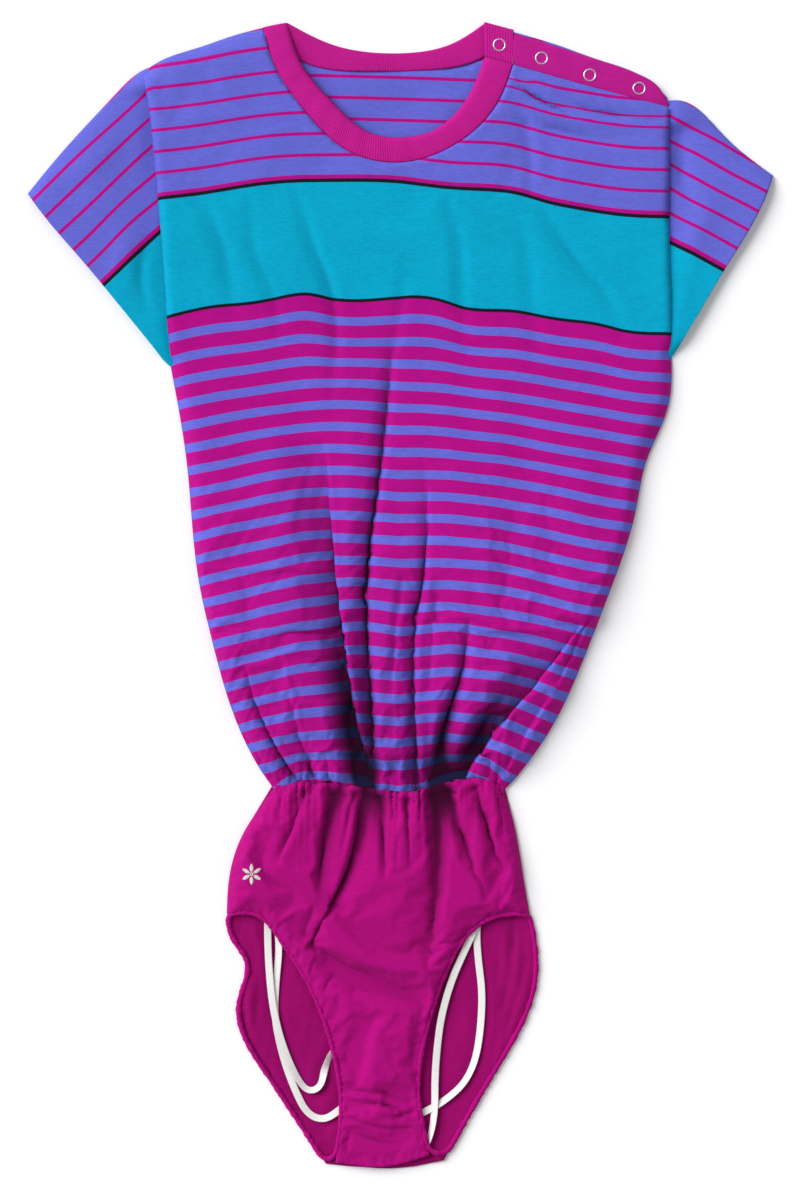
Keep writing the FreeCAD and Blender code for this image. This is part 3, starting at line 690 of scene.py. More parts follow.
def coons(bottom, top, inner, outer, rows, columns):
    """Grid of places between four edges: rows run from bottom to top, columns from inner to outer."""
    b, t = (resample(edge, columns)[0][None] for edge in (bottom, top))
    i, o = (resample(edge, rows)[0][:, None] for edge in (inner, outer))
    v = np.linspace(0, 1, rows)[:, None, None]
    u = np.linspace(0, 1, columns)[None, :, None]
    corners = (1 - u) * (1 - v) * b[:, :1] + u * (1 - v) * b[:, -1:] + (1 - u) * v * t[:, :1]
    corners = corners + u * v * t[:, -1:]
    places = (1 - v) * b + v * t + (1 - u) * i + u * o - corners
    return places, u[..., 0] + 0 * v[..., 0], v[..., 0] + 0 * u[..., 0]


def sleeve(side, edges, black, normal, seed, folds, tuck_top):
    """A short sleeve as one tube of cloth, pressed flat: the upper layer and the layer on the table.

    black is a place on its upper black line, and normal the direction square to its stripes. Below
    tuck_top the bodice puffs over it.
    """
    rows, columns = 84, 60
    places, u, v = coons(*(smooth(edge) for edge in edges), rows, columns)
    x, y = places[..., 0], places[..., 1]
    z = 3.0 + 4.6 * ease(u * 1.6) + 0.5 * ripples(x, y, 55, seed, 1.5)
    for line, depth, width in folds:
        z = z + bump(x, y, line, depth, width)
    joined = ease((y - tuck_top + 8) / 12) * (1 - ease((u - 0.12) * 3))
    z = z + joined * (8.4 - z)
    edge_fade = 1 - 0.9 * np.exp(-((1 - v) * 200 * (0.35 + 0.65 * u) / (8 - 5 * joined)) ** 1.2)
    edge_fade = edge_fade - 0.9 * np.exp(-(v * 160 / 7) ** 1.2)
    z = 1.5 + (z - 1.5) * np.clip(edge_fade, 0.0, 1.0)
    upper = np.stack([x, y, np.clip(z, 1.5, 8.8)], axis=-1)
    under = np.stack([x, y, 0.6 + 0.0 * z], axis=-1)[::-1]
    under[0, :, 2] = under[-1, :, 2] = 0.9
    points = np.concatenate([upper, under]).reshape(-1, 3)
    faces = np.array(grid_faces(2 * rows, columns, closed=True))
    level = BAND + (points[:, 0] - black[0]) * normal[0] + (points[:, 1] - black[1]) * normal[1]
    level = level + 0.7 * ripples(points[:, 0], points[:, 1], 70, seed + 1)
    if point_normals(points, faces)[rows * columns // 2, 2] < 0:
        faces = faces[:, ::-1]
    piece = cloth_piece(side + "_sleeve_cloth", points, faces, {"level": level})
    stand_in(piece, side + "_sleeve")
    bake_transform(piece)
    return piece


right_sleeve = sleeve(
    "right",
    (((-177, 186), (-190, 188.5), (-197, 194.5)),
     ((-199, 440), (-214, 434.5), (-233, 418.7), (-249.4, 401.3), (-282.6, 364.8), (-309.5, 332)),
     ((-177, 186), (-192, 330), (-199, 440)),
     ((-197, 194.5), (-232.8, 238.6), (-266, 278.5), (-299, 317.5), (-309.5, 332))),
    (-209.6, 290.5), (-0.688, 0.725), 31,
    ((((-213, 420), (-208, 390), (-206, 340)), -2.0, 7), (((-222, 300), (-232, 270), (-226, 240)), 1.4, 8),
     (((-208, 300), (-215, 260), (-205, 225)), -1.8, 5), (((-290, 340), (-250, 360),
       (-225, 395)), 1.0, 10)),
    RIGHT_TUCK_TOP)
left_sleeve = sleeve(
    "left",
    (((211, 193), (224, 196), (229, 202)),
     ((214, 408), (222, 409), (232, 409.5), (240, 407), (257, 393), (273.5, 375.5), (290, 361.5),
      (309.5, 347)),
     ((211, 193), (210, 300), (214, 408)),
     ((229, 202), (248.6, 234.5), (265.2, 262.7), (281.8, 289.3), (305, 334), (309.5, 347))),
    (248.6, 278.5), (0.475, 0.88), 41,
    ((((230, 400), (233, 370), (231, 330)), -2.4, 6), (((238, 260), (245, 300), (262, 330)), 1.0, 10),
     (((222, 380), (236, 350), (240, 310)), -1.4, 6)),
    LEFT_TUCK_TOP)


# ---------------------------------------------------------------- neckband, tab, placket and underlap

def band(name, outer, inner, profile, columns, rows=14, thickness=1.2):
    """A strip between two lines; profile gives its height from the shares across and along it."""
    a, along = resample(outer, columns)
    b, _ = resample(inner, columns)
    v = np.linspace(0, 1, rows)[:, None]
    places = a[None] * (1 - v[..., None]) + b[None] * v[..., None]
    z = profile(v + 0 * along[None], along[None] / along[-1] + 0 * v, places[..., 0], places[..., 1])
    points = np.concatenate([places, z[..., None]], axis=-1).reshape(-1, 3)
    faces = face_up(points, np.array(grid_faces(rows, columns)))
    values = {"along": np.tile(along, rows), "across": np.repeat(v[:, 0], columns)}
    return cloth_piece(name, points, faces, values, thickness)


def front_band_height(v, t, x, y):
    body = 9.2 - 5.6 * np.exp(-t / 0.07) - 2.6 * np.exp(-(1 - t) / 0.05)
    crown = 0.9 * np.sin(math.pi * np.clip(v, 0, 1)) ** 0.6
    roll = 2.2 * np.clip((v - 0.86) / 0.14, 0, 1) ** 2
    return body + crown - roll + 0.15 * np.sin(t * 90)


def back_band_height(v, t, x, y):
    return 1.2 + 0.7 * np.sin(math.pi * v) ** 0.7 + 0.2 * np.sin(t * 17 + 1) + 1.2 * np.exp(-t / 0.05)


front_band = band("front_neckband_rib", NECK_SEAM, NECK_EDGE, front_band_height, 220)
stand_in(front_band, "front_neckband", "bodice")
back_band = band("back_neckband_rib", NECK_SEAM_BACK, NECK_EDGE_BACK, back_band_height, 160)
stand_in(back_band, "back_neckband", "bodice")

SNAPS = ((82, 455), (117, 444), (157, 430), (198, 419))


def on_flap(piece):
    """Bakes the placement of a piece of the snap flap into its points."""
    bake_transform(piece)


def placket_height(v, t, x, y):
    pads = sum(0.5 * np.exp(-(((x - px) ** 2 + (y - py) ** 2) / 60)) for px, py in SNAPS)
    edge = 0.9 * np.clip((v - 0.8) / 0.2, 0, 1) ** 2 + 1.4 * np.clip((t - 0.93) / 0.07, 0, 1)
    return 6.1 - pads * 0.6 + 0.5 * np.sin(math.pi * v) ** 0.5 + 0.25 * np.sin(t * 31) * v - edge


def tab_height(v, t, x, y):
    return 6.0 + 0.5 * np.sin(math.pi * v) ** 0.6 - 0.6 * np.clip((v - 0.85) / 0.15, 0, 1) ** 2


def underlap_height(v, t, x, y):
    return 1.9 + 0.15 * np.sin(t * 21)


placket = band("shoulder_placket_knit", FLAP_SEAM, PLACKET_EDGE, placket_height, 90, 18, 1.4)
stand_in(placket, "shoulder_placket")
on_flap(placket)
tab = band("neckband_tab_rib", smooth([(93.5, 438.3), (70, 444.8)]), smooth([(94, 467.5), (69.5, 474)]),
           tab_height, 20, 24, 1.5)
stand_in(tab, "neckband_tab")
on_flap(tab)
underlap = band("shoulder_underlap_knit", smooth([(74, 448), (136, 424), (218, 403)]),
                smooth([(92, 467), (127, 457), (165, 443.5), (184, 437.4), (203, 428.6), (220, 414)]),
                underlap_height, 80, 12, 1.2)
stand_in(underlap, "shoulder_underlap", "bodice")
places = np.array([v.co[:2] for v in underlap.data.vertices]) / MM
layer = underlap.data.attributes.new("level", "FLOAT", "POINT")
layer.data.foreach_set("value", plain_rows(*places.T).astype(np.float32))


# ---------------------------------------------------------------- tubes, threads and snap rings

def around(section):
    """Even angles round a tube."""
    return 2 * math.pi * np.arange(section) / section


def tube(path, radius, section, closed=False, squash=1.0):
    """A round tube along a path, whose radius can vary along it and round it."""
    path, radius = np.asarray(path, float), np.asarray(radius, float)
    if radius.ndim == 1:
        radius = radius[:, None]
    heading = np.roll(path, -1, axis=0) - np.roll(path, 1, axis=0) if closed else np.gradient(path, axis=0)
    heading /= np.linalg.norm(heading, axis=1)[:, None]
    side = np.cross(heading, (0.0, 0.0, 1.0))
    side /= np.maximum(np.linalg.norm(side, axis=1), 1e-9)[:, None]
    up = np.cross(side, heading)
    turn = around(section)
    points = (path[:, None] + side[:, None] * (np.cos(turn) * radius)[..., None]
              + up[:, None] * (np.sin(turn) * radius * squash)[..., None])
    return points.reshape(-1, 3), sweep_faces(len(path), section, closed)


def bundle(name, parts):
    """One object from several closed shapes."""
    points, faces, start = [], [], 0
    for some, more in parts:
        points.append(some)
        faces += [tuple(i + start for i in face) for face in more]
        start += len(some)
    return mesh_object(name, np.concatenate(points), faces)


def stitch(a, b, radius, sag):
    """One short thread between two places, with rounded ends that dip into the cloth."""
    share = np.linspace(0, 1, 7)
    path = np.outer(1 - share, a) + np.outer(share, b)
    path[:, 2] += sag * np.sin(math.pi * share) - radius * 0.4
    return tube(path, radius * np.sqrt(np.clip(1 - (2 * share - 1) ** 4, 0.08, 1)), 6)


def ring(place, low, outer=5.4, wire=0.64):
    """A pressed wire-edged ring, as wide as its outer radius, standing on a height."""
    turn = around(48)
    middle = outer - wire
    path = np.column_stack([place[0] + middle * np.cos(turn), place[1] + middle * np.sin(turn),
                            np.full(len(turn), low + wire * 0.5)])
    return tube(path, wire, 14, closed=True, squash=0.75)


rings = bundle("snap_front_ring_caps", [ring(p, z) for p, z in zip(SNAPS, (7.1, 6.9, 6.9, 6.9))])
stand_in(rings, "snap_front_rings", "shoulder_flap")

tack = bundle("tab_bar_tack_thread", [
    stitch((92.6 + 0.25 * (k % 2), 439.4 + 0.45 * k, 7.2), (94.9, 439.6 + 0.45 * k, 7.0), 0.28, 0.2)
    for k in range(13)])
on_flap(tack)
stand_in(tack, "tab_bar_tack")


# ---------------------------------------------------------------- brief

BRIEF_FOLDS = (
    # line, depth, left width, right width, power
    (((-76, -296), (-60, -262), (-42, -222), (-33, -180), (-30, -160)), 11.5, 12, 3.5, 0.55),
    (((-84, -290), (-70, -250), (-63, -205), (-55, -166)), 11.0, 9, 5, 0.6),
    (((-12, -245), (-14, -205), (-17, -166)), 7.5, 4, 5, 0.8),
    (((21, -310), (27, -260), (29, -215), (27, -160)), 12.5, 10, 6.5, 0.4),
    (((72, -255), (50, -198), (39, -166)), 9.0, 4, 7, 0.7),
    (((88, -235), (72, -195), (62, -166)), 6.0, 4, 4, 0.8),
    (((-104, -225), (-90, -195), (-80, -166)), 5.0, 4, 4, 0.8),
    (((8, -230), (6, -195), (4, -166)), 5.0, 4, 3, 0.8),
    (((-50, -220), (-44, -190), (-38, -166)), 5.0, 3, 3, 0.8),
)
BRIEF_SWELLS = (
    # line, height, width
    (((-104, -215), (-72, -248), (-42, -292), (0, -312), (36, -322)), 4.2, 9),
    (((-92, -262), (-60, -302), (-36, -322), (0, -334), (26, -340)), -4.8, 9),
    (((-36, -330), (-34, -370), (-34, -420)), -1.8, 8),
    (((40, -200), (44, -240), (38, -290)), 2.4, 9),
    (((-6, -200), (-4, -260), (0, -305)), 2.4, 14),
    (((-122, -200), (-126, -232), (-122, -256)), 1.6, 8),
    (((-25, -350), (-22, -400), (-18, -460)), 1.6, 12),
    (((72, -200), (82, -240), (84, -262)), -2.2, 8),
    (((14, -320), (16, -370), (10, -420)), -1.6, 8),
    (((-106, -190), (-112, -220), (-108, -250)), -1.6, 6),
    (((62, -185), (64, -225), (60, -262)), 2.0, 7),
)
CROTCH_WRINKLES = (
    ((-50, -406), (-30, -412), (-11, -415), (4, -421), (16, -424)),
    ((-50, -426), (-37, -436), (-20, -441), (-1, -443), (14, -440)),
    ((-48, -445), (-30, -450), (-12, -455), (6, -455)),
    ((-40, -422), (-20, -422), (-1, -428), (12, -433)),
    ((-14, -436), (4, -431), (16, -426)),
)
BRIEF_CROWN = ((-477, 5.5), (-440, 7.8), (-360, 9.4), (-290, 11.0), (-230, 13.0), (-190, 13.6),
               (-160, 11.6))


def brief_height(x, y):
    """Height of the middle of the front brief's cloth."""
    z = np.interp(y, *zip(*BRIEF_CROWN))
    hips, leg = distance(x, y, RIGHT_HIP, LEFT_HIP), distance(x, y, RIGHT_LEG, LEFT_LEG)
    for line, height, width in BRIEF_SWELLS:
        z = z + bump(x, y, line, height, width)
    below = np.maximum(BRIEF_TOP - y, 0.0)
    for fold in BRIEF_FOLDS:
        z = z + crease(x, y, *fold) * (1 - 0.7 * np.exp(-below / 8))
    z = z + 3.4 * (gathers(x * (1 - below / 420) + 3, 17, 12) - 0.6) * np.exp(-below / 42)
    z = z + 0.3 * ripples(x, y, 34, 19)
    z = 1.5 + (z - 1.5) * (1 - 0.93 * np.exp(-((hips / 6) ** 1.3)))
    z = z - (z - 5.8) * np.exp(-leg / 5) * (hips > 1) * np.clip(hips / 14, 0, 1)
    return np.clip(z, 1.5, 14.5)


def wrinkles(x, y):
    """How deep a place lies in the wrinkles of the crotch seam, from 0 to about 1."""
    return np.maximum.reduce([bump(x, y, line, 1.0, 2.4) for line in CROTCH_WRINKLES])


def brief_detail(x, y):
    """Small gathers at the waist and the legs, and the puckers of the crotch seam."""
    below = np.maximum(BRIEF_TOP - y, 0.0)
    hips = distance(x, y, RIGHT_HIP, LEFT_HIP)
    right, _, right_share = nearest(RIGHT_LEG, x, y)
    left, _, left_share = nearest(LEFT_LEG, x, y)
    leg = np.minimum(right, left)
    along = np.where(right < left, right_share * 240, left_share * 240)
    z = 5.4 * (gathers(x, *WAIST_GATHERS) - 0.6) * np.exp(-below / 24)
    z = z + 2.0 * (gathers(x, *FINE_GATHERS) - 0.6) * np.exp(-below / 8)
    z = z - 2.2 * np.exp(-below / 1.5)
    z = z + 2.2 * (gathers(along, 6.0, 14) - 0.6) * np.exp(-leg / 7)
    pucker = np.clip(np.minimum((-398 - y) / 12, (y + 464) / 12), 0, 1)
    wavy = y + 0.09 * x + 2.2 * np.sin(x / 9) + 1.5 * np.sin(y / 13 + x / 21)
    z = z + 2.6 * pucker * (gathers(wavy, 7.5, 17) - 0.6) * (0.45 + 0.55 * np.exp(-leg / 12))
    return (z - 2.6 * wrinkles(x, y)) * np.clip(hips / 8, 0, 1)


def height_at(points, x, y):
    """Height of the nearest points of a surface, weighted by how near they are."""
    found = []
    for px, py in zip(np.atleast_1d(x), np.atleast_1d(y)):
        gap = np.hypot(points[:, 0] - px, points[:, 1] - py)
        near = np.argpartition(gap, 4)[:4]
        weight = 1 / (gap[near] + 0.05)
        found.append((points[near, 2] * weight).sum() / weight.sum())
    return np.array(found)


brief_loop = chain(RIGHT_HIP, RIGHT_LEG, CROTCH, LEFT_LEG, LEFT_HIP, BRIEF_WAIST)
flat, faces = net(brief_loop, lambda y: 2.1, lambda y: 1.9)
x, y = flat.T
top = np.column_stack([x, y, brief_height(x, y)])
faces = face_up(top, faces)
outer = distance(x, y, RIGHT_HIP, LEFT_HIP, RIGHT_LEG, LEFT_LEG, CROTCH)
rim = np.minimum(outer, distance(x, y, BRIEF_WAIST))
top = settle(top, faces, np.where(rim < 0.5, 1.0, 0.1), frames=20, growth=0.03, bend=1.5)
top[:, 2] += brief_detail(x, y)
top[:, 1] += seam_wave(x, BRIEF_TOP - y)
hides = over_casing((BRIEF_TOP - y - 6) / 8, distance(x, y, RIGHT_HIP, LEFT_HIP))
top[:, 2] = np.clip(top[:, 2], np.maximum(1.5 + 4.4 * ease((rim - 2) / 10), hides), 15.2)
# painted shade: hollow is how deep each point lies in hollows, folds and the crotch wrinkles, and the cloth's
# colour darkens with it; it fades out near the edges
hollow = np.maximum.reduce([
    hollows(top, faces, 90), 3.0 * hollows(top, faces, 12), 13.0 * fold_depth(x, y, BRIEF_FOLDS),
    4.6 * wrinkles(x, y)])
front_brief = cloth_piece("front_brief_cloth", top, faces, {"hollow": hollow * ease((outer - 1) / 7)})
stand_in(front_brief, "front_brief")

BACK_BRIEF_FOLDS = (
    # line, height, width
    (((-137, -280), (-124, -312), (-126, -345), (-110, -392)), 2.4, 4.0),
    (((-127, -268), (-114, -300), (-116, -340)), 1.8, 3.5),
    (((107, -276), (106, -320), (92, -366), (70, -410)), 2.6, 4.0),
    (((97, -268), (97, -315), (86, -355)), 2.0, 3.5),
    (((86, -268), (87, -310), (83, -340)), 1.2, 3.0),
)
back_brief_loop = chain(RIGHT_HIP, RIGHT_LEG_BACK, CROTCH_BACK, LEFT_LEG_BACK, LEFT_HIP, BRIEF_WAIST)
flat, faces = net(back_brief_loop, lambda y: 3.0, lambda y: 2.6)
x, y = flat.T
pleats = 0.5 + 0.5 * ripples(x + 0.25 * y, y, 24, 23, 4.0) + 0.25 * ripples(x - 0.1 * y, y, 11, 24, 5.0)
rest = 0.7 + 1.5 * np.clip(pleats, 0, 1) * np.clip((-190 - y) / 40, 0, 1)
edge = distance(x, y, RIGHT_LEG_BACK, LEFT_LEG_BACK)
along = np.where(x < 0, nearest(RIGHT_LEG_BACK, x, y)[2], nearest(LEFT_LEG_BACK, x, y)[2]) * 230
rest = rest + 0.8 * (gathers(along, 7, 27) - 0.3) * np.exp(-edge / 10)
rest = np.clip(rest, 0.6, 2.5)
for line, height, width in BACK_BRIEF_FOLDS:
    rest = rest + bump(x, y, line, height, width) * np.clip(edge / 8, 0, 1)
for route in (RIGHT_ROUTE, LEFT_ROUTE):
    # pressed flat under the tapes, so that they don't come through it in the folded brief
    gap = distance(x, y, np.array(route)[:, :2])
    rest = rest + (0.65 - rest) * np.exp(-((gap / 7) ** 4))
under = np.column_stack([x, y, rest])
faces = face_up(under, faces)
# painted shade: the colour darkens with how deep each point lies in its folds, except near the leg edges
back_brief = cloth_piece("back_brief_cloth", under, faces,
                         {"hollow": 5.0 * hollows(under, faces, 25) * ease((edge - 1) / 5)})
stand_in(back_brief, "back_brief")

lining_loop = chain(*(smooth(edge) for edge in (
    ((-42, -404), (-43, -430), (-45, -466)), ((-45, -466), (-15, -468), (15, -461)),
    ((15, -461), (11, -430), (10, -404)), ((10, -404), (-16, -402), (-42, -404)))))
flat, faces = net(lining_loop, lambda y: 3.0, lambda y: 3.0)
x, y = flat.T
lift = 2.9 + 0.3 * ripples(x, y, 14, 29)
lining = cloth_piece("crotch_lining_knit", np.column_stack([x, y, lift]), faces, thickness=0.6)
stand_in(lining, "crotch_lining", "brief")

for piece in (front_brief, back_brief):
    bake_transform(piece)


def leg_loop(front_line, back_line):
    """The closed line of a leg opening: the front's edge, then the back's, each at its own height."""
    front_z = np.clip(height_at(top, *front_line.T) - 0.1, 2.6, 6.4)
    whole = chain(np.column_stack([front_line, front_z]),
                  np.column_stack([back_line, np.full(len(back_line), 2.1)]))
    for _ in range(6):
        whole = (np.roll(whole, 1, axis=0) + 2 * whole + np.roll(whole, -1, axis=0)) / 4
    looped = np.concatenate([whole, whole[:1]])
    path, along = resample(looped, round(lengths(looped)[-1] / 0.9) + 1)
    return path[:-1], along[:-1]


def binding(side, front_line, back_line, seed):
    """The rolled elastic edge of a leg opening, puckered all round."""
    path, along = leg_loop(front_line, back_line)
    turn = around(14)
    pucker = gathers(along[:, None] * np.ones(14) + 1.6 * np.sin(turn)[None], 4.2, seed)
    points, faces = tube(path, 2.15 + 0.9 * (pucker - 0.5) + 0.15 * np.sin(2 * turn)[None], 14, closed=True)
    points[:, 2] = np.maximum(points[:, 2], 0.05)
    piece = mesh_object(side + "_leg_binding_knit", points, faces)
    stand_in(piece, side + "_leg_binding", "brief")
    elastic = mesh_object(side + "_leg_elastic_core", *tube(path[::3], 0.9, 8, closed=True))
    stand_in(elastic, side + "_leg_elastic", "brief")
    return piece, elastic


right_binding, right_elastic = binding("right", RIGHT_LEG, RIGHT_LEG_BACK[::-1], 51)
left_binding, left_elastic = binding("left", LEFT_LEG, LEFT_LEG_BACK[::-1], 52)


# ---------------------------------------------------------------- waist

def waist_loop(name, half_width, half_thick):
    """A gathered band that runs across the front at the waist, round the side and back along the table."""
    upper, low = 5.0, 2.4
    middle, radius = (upper + low) / 2, (upper - low) / 2
    across = np.linspace(-102.5, 84.5, 150)
    turn = np.linspace(-math.pi / 2, math.pi / 2, 14)[1:-1]
    line = np.concatenate([
        np.column_stack([across, np.full(150, upper)]),
        np.column_stack([across[-1] + radius * np.cos(turn), middle - radius * np.sin(turn)]),
        np.column_stack([across[::-1], np.full(150, low)]),
        np.column_stack([across[0] - radius * np.cos(turn), middle + radius * np.sin(turn)])])
    heading = np.roll(line, -1, axis=0) - np.roll(line, 1, axis=0)
    heading /= np.linalg.norm(heading, axis=1)[:, None]
    x, z = line.T
    ruffle = (gathers(x, *WAIST_GATHERS) - 0.6) * 0.5 * np.where(z > middle, 1.0, 0.12)
    turn = around(14)
    puckered = 1 + 0.10 * (gathers(x, 5.0, 4)[:, None] - 0.5)
    push = half_thick * np.sin(turn)[None] + ruffle[:, None] * 1.4
    y = -162.75 + half_width * np.cos(turn)[None] * puckered
    points = np.stack([x[:, None] - heading[:, 1:] * push, y, z[:, None] + heading[:, :1] * push], axis=-1)
    points = points.reshape(-1, 3)
    points[:, 2] = np.clip(points[:, 2], 0.05, 14.6)
    return mesh_object(name, points, sweep_faces(len(line), 14, closed=True))


casing = waist_loop("waist_casing_knit", 3.6, 0.8)
stand_in(casing, "waist_casing", "bodice")
elastic = waist_loop("waist_elastic_band", 2.4, 0.3)
stand_in(elastic, "waist_elastic", "bodice")


# ---------------------------------------------------------------- embroidered flower

MOTIF = (-123.0, -232.0)


def flower():
    """Six satin-stitched petals round a ring of short stitches."""
    parts = []
    for petal in range(6):
        angle = math.radians(60 * petal + 30)
        out = np.array([math.cos(angle), math.sin(angle)])
        across = np.array([-out[1], out[0]])
        for share in (np.arange(11) + 0.5) / 11:
            start = 2.0 + 6.4 * share
            half = 1.75 * math.sin(math.pi * min(share * 0.94 + 0.06, 1.0)) ** 0.7
            parts.append((MOTIF + out * start - across * half,
                          MOTIF + out * (start + 0.25) + across * half, 0.34))
    for angle in around(10):
        spoke = np.array([math.cos(angle), math.sin(angle)])
        parts.append((MOTIF + spoke * 0.5, MOTIF + spoke * 1.7, 0.3))
    places = np.array([p for a, b, _ in parts for p in (a, b)])
    z = height_at(top, *places.T) + CLOTH / 2 + 0.15
    return bundle("embroidered_flower_thread", [
        stitch((*a, z[2 * i]), (*b, z[2 * i + 1]), radius, 0.35) for i, (a, b, radius) in enumerate(parts)])


motif = flower()
stand_in(motif, "embroidered_motif", "brief")


# ---------------------------------------------------------------- materials

def tone(red, green, blue):
    """A colour as the shaders want it, from its 0 to 255 screen values."""
    def one(c):
        c = c / 255
        return c / 12.92 if c <= 0.04045 else ((c + 0.055) / 1.055) ** 2.4
    return one(red), one(green), one(blue), 1.0


class Recipe:
    """A material with a Principled shader and short words for the nodes that feed it."""

    def __init__(self, name, roughness, **fixed):
        self.material = bpy.data.materials.new(name)
        self.material.use_nodes = True
        self.tree = self.material.node_tree
        self.shader = self.tree.nodes["Principled BSDF"]
        self.shader.inputs["Roughness"].default_value = roughness
        for key, value in fixed.items():
            self.shader.inputs[key.replace("_", " ")].default_value = value
        space = self.node("TexCoord", {})["Object"]
        self.place = self.scaled(space, 1 / MM)
        self.x, self.y, _ = self.node("SeparateXYZ", {0: self.place})

    def feed(self, socket, value):
        if isinstance(value, bpy.types.NodeSocket):
            self.tree.links.new(value, socket)
        elif isinstance(value, tuple):
            socket.default_value = value[:len(socket.default_value)]
        else:
            socket.default_value = value

    def node(self, kind, values, **settings):
        """The outputs of a new node; values go to its inputs by number or name."""
        node = self.tree.nodes.new("ShaderNode" + kind)
        for key, setting in settings.items():
            setattr(node, key, setting)
        for key, value in values.items():
            self.feed(node.inputs[key], value)
        return node.outputs

    def scaled(self, vector, factor):
        return self.node("VectorMath", {0: vector, "Scale": factor}, operation="SCALE")[0]

    def sum(self, operation, *values):
        return self.node("Math", dict(enumerate(values)), operation=operation)[0]

    def add(self, *values):
        return self.sum("ADD", *values)

    def less(self, *values):
        return self.sum("SUBTRACT", *values)

    def times(self, *values):
        return self.sum("MULTIPLY", *values)

    def off(self, value, middle):
        """How far a value is from another."""
        return self.sum("ABSOLUTE", self.less(value, middle))

    def steps(self, value, start, end, low=0.0, high=1.0):
        values = {"Value": value, "From Min": start, "From Max": end, "To Min": low, "To Max": high}
        return self.node("MapRange", values, interpolation_type="SMOOTHSTEP")["Result"]

    def line(self, distance, half, soft=0.35):
        """1 on a line and 0 off it, with soft edges."""
        return self.steps(distance, half - soft, half + soft, 1.0, 0.0)

    def mix(self, share, a, b):
        return self.node("Mix", {0: share, 6: a, 7: b}, data_type="RGBA")[2]

    def noise(self, scale, detail, stretch=(1.0, 1.0, 1.0)):
        spread = self.node("VectorMath", {0: self.place, 1: stretch}, operation="MULTIPLY")[0]
        values = {"Vector": spread, "Scale": scale, "Detail": detail, "Roughness": 0.55}
        return self.node("TexNoise", values)["Fac"]

    def number(self, name):
        return self.node("Attribute", {}, attribute_name=name)["Fac"]

    def wave(self, value, pitch):
        return self.sum("SINE", self.times(value, 2 * math.pi / pitch))

    def jersey(self, wale=1.5, course=1.2):
        """Height of plain knitting: columns of small V shaped loops."""
        column = self.sum("PINGPONG", self.x, wale / 2)
        rows = self.wave(self.add(self.y, self.times(column, 0.9)), course)
        return self.add(self.times(rows, 0.35), self.times(self.wave(self.x, wale), 0.3))

    def finish(self, colour, height, strength):
        self.feed(self.shader.inputs["Base Color"], colour)
        bump = self.node("Bump", {"Strength": strength, "Distance": 0.3 * MM, "Height": height})
        self.feed(self.shader.inputs["Normal"], bump["Normal"])
        return self.material


def heather(recipe, colour, amount, painted_fold_shade=0.0):
    """Cotton yarn is never quite even: slubs along the rows and a faint mottle. The last number paints shade:
    it darkens the colour in hollows and folds.
    """
    slub = recipe.noise(0.45, 4.0, (0.35, 1.6, 1.0))
    cloud = recipe.noise(0.02, 2.0)
    speck = recipe.noise(1.4, 2.0)
    share = recipe.add(recipe.times(slub, 0.5), recipe.times(speck, 0.3))
    share = recipe.add(share, recipe.times(cloud, 0.2))
    bright = recipe.steps(share, 0.3, 0.7, 1.0 - amount, 1.0 + amount)
    # painted shade: the colour darkens with the hollow depth kept on the points, in place of the shade in
    # folds
    if painted_fold_shade:
        bright = recipe.times(bright, recipe.steps(recipe.number("hollow"), 0.6, 9.0, 1.0, 1.0 - painted_fold_shade))
    return recipe.scaled(colour, bright)


FUZZ = {"Sheen_Weight": 0.03, "Sheen_Roughness": 0.45, "Specular_IOR_Level": 0.08}
PERIWINKLE = tone(98, 100, 203)
MAGENTA = tone(172, 8, 128)
TEAL = tone(2, 158, 194)
BLACK = tone(22, 22, 34)


# the printed pattern, by height above the lower black line
THIN_PITCH, THIN_HALF, FIRST_THIN = 17.7, 1.45, BAND + 21.1
WIDE_HALF, FIRST_WIDE, WIDE_START = 3.65, 14.1, 11.0
WHOLE_PITCHES = 20.5  # keeps what MODULO divides above zero
YOKE_EDGE = BAND + 4.4
LOWER_BLACK, UPPER_BLACK = 1.35, 1.5


def striped():
    r = Recipe("striped_cotton_jersey", 0.88, **FUZZ)
    level = r.add(r.number("level"), r.times(r.less(r.noise(0.9, 2.0), 0.5), 0.5))
    # above the chest band: thin lines on periwinkle
    phase = r.add(r.less(level, FIRST_THIN), THIN_PITCH * WHOLE_PITCHES)
    gap = r.off(r.sum("MODULO", phase, THIN_PITCH), THIN_PITCH / 2)
    upper = r.mix(r.line(gap, THIN_HALF), PERIWINKLE, MAGENTA)
    upper = r.mix(r.steps(level, YOKE_EDGE - 0.35, YOKE_EDGE + 0.35), MAGENTA, upper)
    # below the chest band: wide stripes
    depth = r.times(level, -1.0)
    phase = r.add(r.less(depth, FIRST_WIDE + WIDE_HALF), STRIPE_PITCH * WHOLE_PITCHES)
    gap = r.off(r.sum("MODULO", phase, STRIPE_PITCH), STRIPE_PITCH / 2)
    wide = r.times(r.line(gap, WIDE_HALF), r.steps(depth, WIDE_START, WIDE_START + 0.5))
    lower = r.mix(wide, MAGENTA, PERIWINKLE)
    # the teal band and its black edges
    colour = r.mix(r.steps(level, -0.2, 0.2), lower, TEAL)
    colour = r.mix(r.steps(level, BAND - 0.2, BAND + 0.2), colour, upper)
    low_edge = r.line(r.sum("ABSOLUTE", level), LOWER_BLACK, 0.3)
    high_edge = r.line(r.off(level, BAND), UPPER_BLACK, 0.3)
    colour = r.mix(r.sum("MAXIMUM", low_edge, high_edge), colour, BLACK)
    # the folds of the front are painted darker, as painted shade
    return r.finish(heather(r, colour, 0.13, 0.94), r.jersey(), 0.25)


def plain(name, colour, strength=0.3, wale=1.4, painted_fold_shade=0.0):
    r = Recipe(name, 0.86, **FUZZ)
    return r.finish(heather(r, colour, 0.12, painted_fold_shade), r.jersey(wale, 1.1), strength)


